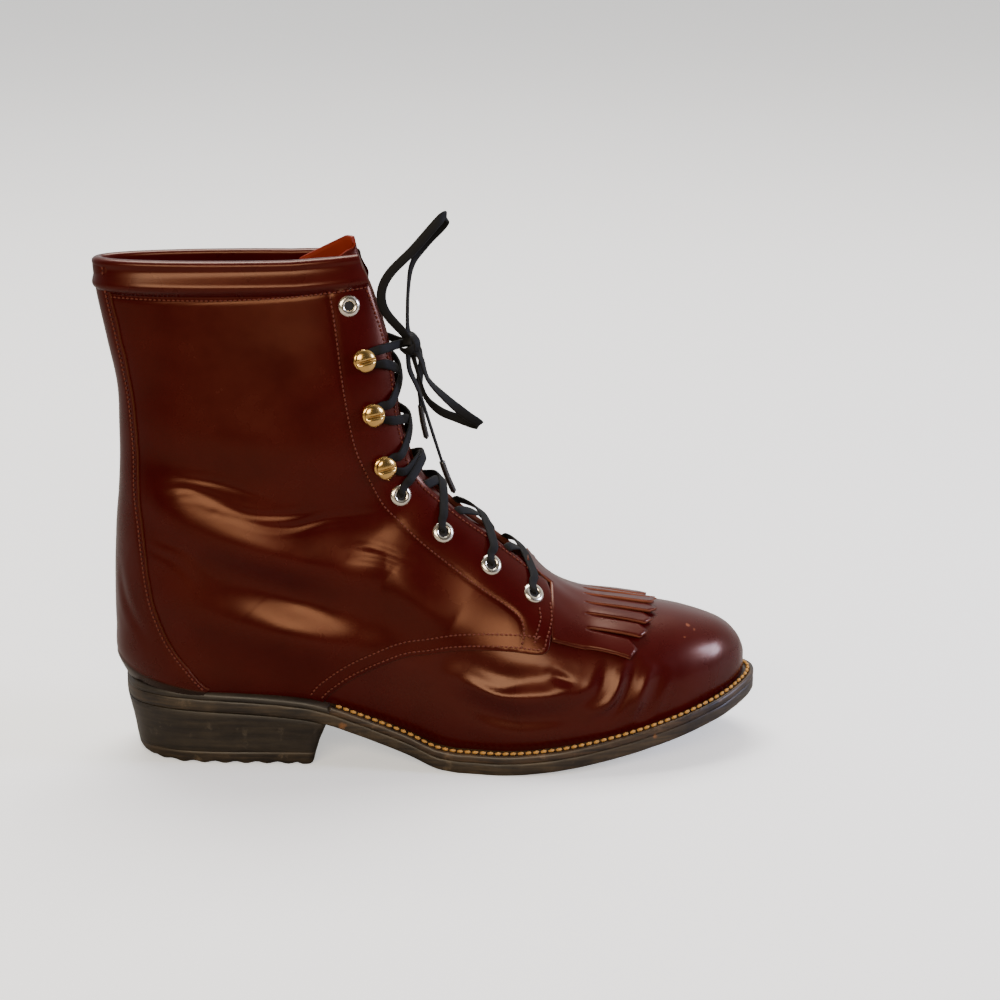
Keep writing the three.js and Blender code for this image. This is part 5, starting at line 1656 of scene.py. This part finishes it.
def make_bow(sizes):
    """Knot, two loops and two ends of flat lace, on the same routes as the frame's cords."""
    bm = bmesh.new()
    centre = np.array(KNOT, float)
    wraps = [
        [(-3.4, 0.5, -3.6), (-1, -4.6, -2.4), (3, -3.6, 0.2), (3.4, 1, 2.6), (0.4, 4.2, 3.6), (-3.2, 2.6, 2.6)],
        [(-2.8, 2.6, 3.8), (0.6, -1.8, 4.6), (3.2, -3.6, 1.2), (2.6, -3, -3), (-1, -0.6, -4.6), (-3.2, 2.2, -3)],
        [(-3, -2.6, 2), (0.6, -4.2, 2.2), (3.6, -0.6, -0.6), (2.8, 3.4, -1.8), (-1.2, 4.2, -2.4)],
    ]
    for wrap in wraps:
        points = centre + np.array(wrap)
        flats = np.cross(np.gradient(points, axis=0), points - centre)
        lace_strand(bm, sizes, points, flats, 4.2, 0.6)
    close_ends(bm)
    new_piece("bow_knot", bm, MATERIALS["lace"], ["lace_knot"])
    # Each strand: its route, the frame's node and how it lies along the way, from 1 face on to 0 edge on
    routes = {
        "bow_loop_up": (LOOP_UP, "lace_loop_up", [0.6, 0.8, 1, 1, 1, 1, 1, 0.9, 0.9, 0.8, 0.4, 0.2, 0.2, 0.4]),
        "bow_loop_down": (LOOP_DOWN, "lace_loop_down", [0.4, 0.3, 0.2, 0.5, 0.9, 1, 1, 1, 0.8, 0.4, 0.2, 0.3, 0.5]),
        "bow_end_outer": (END_OUTER, "lace_end_outer", [0.5, 0.3, 0.3, 0.2, 0.1, 0.1, 0.1, 0.1]),
        "bow_end_inner": (END_INNER, "lace_end_inner", [0.5, 0.4, 0.3, 0.5, 0.3, 0.2, 0.2]),
    }
    for name, (route, replaced, lie) in routes.items():
        bm = bmesh.new()
        route = np.array(route, float)
        along = unit(np.gradient(route, axis=0))
        face_on = unit(np.cross(along, (0, 1, 0)))
        lie = np.array(lie)[:, None]
        flats = unit(face_on * lie + np.array((0, 1, 0)) * (1.001 - lie))
        for k in range(1, len(flats)):
            if flats[k] @ flats[k - 1] < 0:
                flats[k] *= -1
        free = name.startswith("bow_end")
        walked = walk(route)
        left = walked[-1] - walked
        aglet = sizes.aglet_length / MM
        widths = np.interp(left, (aglet, aglet + 7), (2.2, 4.2)) if free else np.full(len(route), 4.4)
        widths[0] = 3.4
        if not free:
            widths[-1] = 3.4
        path = lace_strand(bm, sizes, route, flats, widths)
        close_ends(bm)
        piece = new_piece(name, bm, MATERIALS["lace"], [replaced])
        with_pieces = ()
        if free:
            steps = np.linalg.norm(np.diff(path, axis=0), axis=1)
            back = np.cumsum(steps[::-1])[::-1]
            tail = path[:-1][back < aglet]
            sleeve = bmesh.new()
            sweep(sleeve, tail, 2.9, 2.9, np.tile((0.0, 1.0, 0.2), (len(tail), 1)), around=14, squareness=2.0)
            close_ends(sleeve)
            with_pieces = (new_piece(name.replace("bow_end", "aglet"), sleeve, MATERIALS["aglet"]),)


# ---- stage ------------------------------------------------------------------------------------------------------


CAMERA_PLACE = (-0.00572, -1.1330, 0.4760)
CAMERA_YAW, CAMERA_PITCH = 1.9, 17.4
LENS = 90


def make_camera():
    data = bpy.data.cameras.new("Camera")
    data.lens = LENS
    data.sensor_width = 36
    data.clip_end = 20
    camera = bpy.data.objects.new("Camera", data)
    bpy.context.scene.collection.objects.link(camera)
    yaw, pitch = math.radians(CAMERA_YAW), math.radians(CAMERA_PITCH)
    forward = Vector((math.sin(yaw) * math.cos(pitch), math.cos(yaw) * math.cos(pitch), -math.sin(pitch)))
    right = Vector((math.cos(yaw), -math.sin(yaw), 0))
    up = right.cross(forward)
    turn = Matrix((right, up, -forward)).transposed().to_4x4()
    camera.matrix_world = Matrix.Translation(CAMERA_PLACE) @ turn
    bpy.context.scene.camera = camera


def add_light(name, place, target, size, energy, colour):
    data = bpy.data.lights.new(name, "AREA")
    data.shape = "RECTANGLE"
    data.size, data.size_y = size
    data.energy = energy
    data.color = colour
    light = bpy.data.objects.new(name, data)
    light.location = place
    light.rotation_euler = (Vector(target) - Vector(place)).to_track_quat("-Z", "Y").to_euler()
    bpy.context.scene.collection.objects.link(light)


def make_stage():
    made, tree, shader = fresh_material("Pale floor")
    place = object_place(tree)
    noise = node(tree, "ShaderNodeTexNoise", {"Vector": place, "Scale": 3.0, "Detail": 2.0})
    pale = mix_colour(tree, noise.outputs["Fac"], (0.86, 0.855, 0.845), (0.9, 0.895, 0.885))
    seen = node(tree, "ShaderNodeLightPath").outputs["Is Camera Ray"]
    tree.links.new(mix_colour(tree, seen, (0.3, 0.28, 0.26), pale), shader.inputs["Base Color"])
    tree.links.new(mix_colour(tree, seen, (0, 0, 0), (1, 0.995, 0.985)), shader.inputs["Emission Color"])
    shader.inputs["Emission Strength"].default_value = 0.55
    shader.inputs["Roughness"].default_value = 0.75
    bm = bmesh.new()
    bmesh.ops.create_grid(bm, x_segments=8, y_segments=8, size=4)
    mesh = bpy.data.meshes.new("Floor")
    bm.to_mesh(mesh)
    bm.free()
    mesh.materials.append(made)
    floor = bpy.data.objects.new("Floor", mesh)
    bpy.context.scene.collection.objects.link(floor)
    world = bpy.data.worlds.new("Studio")
    bpy.context.scene.world = world
    world.use_nodes = True
    tree = world.node_tree
    background = tree.nodes["Background"]
    way = node(tree, "ShaderNodeSeparateXYZ", {0: node(tree, "ShaderNodeTexCoord").outputs["Generated"]})
    share = node(tree, "ShaderNodeMapRange", {"Value": way.outputs["Y"], "From Min": -0.5, "From Max": 0.6})
    round_about = mix_colour(tree, share.outputs[0], (0.07, 0.066, 0.062), (0.85, 0.84, 0.83))
    seen = node(tree, "ShaderNodeLightPath").outputs["Is Camera Ray"]
    tree.links.new(mix_colour(tree, seen, round_about, (0.9, 0.895, 0.885)), background.inputs["Color"])
    add_light("Key", (-0.45, -2.15, 1.28), (0.0, 0, 0.09), (2.1, 0.9), 60, (1.0, 0.84, 0.62))
    add_light("Window", (1.5, -0.2, 0.6), (0.1, 0, 0.05), (0.35, 0.45), 22, (0.62, 0.68, 1.0))
    add_light("Top", (-0.1, 0.75, 1.9), (0, 0.1, 0), (1.3, 0.9), 48, (1.0, 0.97, 0.94))
    make_camera()


# ---- add-on -----------------------------------------------------------------------------------------------------


class BootSizes(bpy.types.PropertyGroup):
    lace_width: bpy.props.FloatProperty(
        name="Lace width", description="Width of the flat lace", default=0.0048, unit="LENGTH")
    lace_thickness: bpy.props.FloatProperty(
        name="Lace thickness", description="Thickness of the flat lace", default=0.00125, unit="LENGTH")
    aglet_length: bpy.props.FloatProperty(
        name="Aglet length", description="Length of the sleeve on each lace end", default=0.018, unit="LENGTH")
    seam_pitch: bpy.props.FloatProperty(
        name="Seam stitch", description="Way from one stitch of the upper to the next", default=0.00215, unit="LENGTH")


class BootColours(bpy.types.PropertyGroup):
    oxblood: bpy.props.FloatVectorProperty(
        name="Oxblood", description="Deep tone of the leather", subtype="COLOR", default=(0.033, 0.0008, 0.0014))
    oxblood_light: bpy.props.FloatVectorProperty(
        name="Oxblood, light", description="Lighter tone of the leather", subtype="COLOR",
        default=(0.046, 0.0016, 0.0021))
    seam_thread: bpy.props.FloatVectorProperty(
        name="Seam thread", description="Thread of the upper's seams", subtype="COLOR", default=(0.13, 0.03, 0.017))
    welt_thread: bpy.props.FloatVectorProperty(
        name="Welt thread", description="Thread of the welt", subtype="COLOR", default=(0.52, 0.27, 0.07))


class BOOT_OT_stage(bpy.types.Operator):
    """Adds the camera, floor and lights"""

    bl_idname = "boot.stage"
    bl_label = "Stage"

    def execute(self, context):
        make_stage()
        return {"FINISHED"}


class BOOT_OT_materials(bpy.types.Operator):
    """Makes every material"""

    bl_idname = "boot.materials"
    bl_label = "Materials"

    def execute(self, context):
        make_materials(context.scene.boot_colours)
        return {"FINISHED"}


class BOOT_OT_bow(bpy.types.Operator):
    """Adds the knot, loops and ends"""

    bl_idname = "boot.bow"
    bl_label = "Bow"

    def execute(self, context):
        make_bow(context.scene.boot_sizes)
        return {"FINISHED"}


class BOOT_OT_lacing(bpy.types.Operator):
    """Runs the lace through eyelets and hooks"""

    bl_idname = "boot.lacing"
    bl_label = "Lacing"

    def execute(self, context):
        make_lacing(context.scene.boot_sizes)
        return {"FINISHED"}


class BOOT_OT_vamp(bpy.types.Operator):
    """Adds the creased vamp"""

    bl_idname = "boot.vamp"
    bl_label = "Vamp"

    def execute(self, context):
        make_vamp()
        return {"FINISHED"}


class BOOT_OT_quarters(bpy.types.Operator):
    """Adds the quarters and shaft"""

    bl_idname = "boot.quarters"
    bl_label = "Quarters"

    def execute(self, context):
        make_quarters()
        return {"FINISHED"}


class BOOT_OT_lining(bpy.types.Operator):
    """Adds the shaft's lining"""

    bl_idname = "boot.lining"
    bl_label = "Lining"

    def execute(self, context):
        make_lining()
        return {"FINISHED"}


class BOOT_OT_back_strap(bpy.types.Operator):
    """Adds the back strap and counter cover"""

    bl_idname = "boot.back_strap"
    bl_label = "Back strap"

    def execute(self, context):
        make_back_strap()
        return {"FINISHED"}


class BOOT_OT_collar(bpy.types.Operator):
    """Adds the rolled collar band"""

    bl_idname = "boot.collar"
    bl_label = "Collar"

    def execute(self, context):
        make_collar_band()
        return {"FINISHED"}


class BOOT_OT_stitches(bpy.types.Operator):
    """Adds the upper's stitches"""

    bl_idname = "boot.stitches"
    bl_label = "Upper stitches"

    def execute(self, context):
        make_upper_stitches(context.scene.boot_sizes)
        return {"FINISHED"}


class BOOT_OT_tongue(bpy.types.Operator):
    """Adds the tongue"""

    bl_idname = "boot.tongue"
    bl_label = "Tongue"

    def execute(self, context):
        make_tongue()
        return {"FINISHED"}


class BOOT_OT_kiltie(bpy.types.Operator):
    """Adds the fringed flap"""

    bl_idname = "boot.kiltie"
    bl_label = "Kiltie"

    def execute(self, context):
        make_kiltie()
        return {"FINISHED"}


class BOOT_OT_outsole(bpy.types.Operator):
    """Adds the outsole"""

    bl_idname = "boot.outsole"
    bl_label = "Outsole"

    def execute(self, context):
        make_outsole()
        return {"FINISHED"}


class BOOT_OT_welt(bpy.types.Operator):
    """Adds the welt and heel seat rand"""

    bl_idname = "boot.welt"
    bl_label = "Welt"

    def execute(self, context):
        make_welt()
        return {"FINISHED"}


class BOOT_OT_welt_stitches(bpy.types.Operator):
    """Adds the welt's stitches"""

    bl_idname = "boot.welt_stitches"
    bl_label = "Welt stitches"

    def execute(self, context):
        make_welt_stitches()
        return {"FINISHED"}


class BOOT_OT_heel(bpy.types.Operator):
    """Adds the heel stack and top lift"""

    bl_idname = "boot.heel"
    bl_label = "Heel"

    def execute(self, context):
        make_heel()
        return {"FINISHED"}


class BOOT_OT_insole(bpy.types.Operator):
    """Adds the footbed"""

    bl_idname = "boot.insole"
    bl_label = "Insole"

    def execute(self, context):
        make_insole()
        return {"FINISHED"}


class BOOT_OT_eyelets(bpy.types.Operator):
    """Adds the eyelets"""

    bl_idname = "boot.eyelets"
    bl_label = "Eyelets"

    def execute(self, context):
        make_eyelets()
        return {"FINISHED"}


class BOOT_OT_hooks(bpy.types.Operator):
    """Adds the lacing hooks"""

    bl_idname = "boot.hooks"
    bl_label = "Hooks"

    def execute(self, context):
        make_hooks()
        return {"FINISHED"}


OPERATORS = [
    BOOT_OT_stage, BOOT_OT_materials, BOOT_OT_bow, BOOT_OT_lacing, BOOT_OT_vamp, BOOT_OT_quarters, BOOT_OT_lining,
    BOOT_OT_back_strap, BOOT_OT_collar, BOOT_OT_stitches, BOOT_OT_tongue, BOOT_OT_kiltie, BOOT_OT_outsole,
    BOOT_OT_welt, BOOT_OT_welt_stitches, BOOT_OT_heel, BOOT_OT_insole, BOOT_OT_eyelets, BOOT_OT_hooks,
]


class BOOT_PT_panel(bpy.types.Panel):
    """The boot's pieces and colours"""

    bl_label = "Packer boot"
    bl_idname = "BOOT_PT_panel"
    bl_space_type = "VIEW_3D"
    bl_region_type = "UI"
    bl_category = "Boot"

    def draw(self, context):
        for name in ("lace_width", "lace_thickness", "aglet_length", "seam_pitch"):
            self.layout.prop(context.scene.boot_sizes, name)
        for name in ("oxblood", "oxblood_light", "seam_thread", "welt_thread"):
            self.layout.prop(context.scene.boot_colours, name)
        for operator in OPERATORS:
            self.layout.operator(operator.bl_idname)


CLASSES = [BootSizes, BootColours, *OPERATORS, BOOT_PT_panel]


def register():
    for item in CLASSES:
        bpy.utils.register_class(item)
    bpy.types.Scene.boot_sizes = bpy.props.PointerProperty(type=BootSizes)
    bpy.types.Scene.boot_colours = bpy.props.PointerProperty(type=BootColours)


def unregister():
    del bpy.types.Scene.boot_colours
    del bpy.types.Scene.boot_sizes
    for item in reversed(CLASSES):
        bpy.utils.unregister_class(item)


def main():
    register()
    for operator in OPERATORS:
        group_name, name = operator.bl_idname.split(".")
        getattr(getattr(bpy.ops, group_name), name)()


if __name__ == "__main__":
    main()
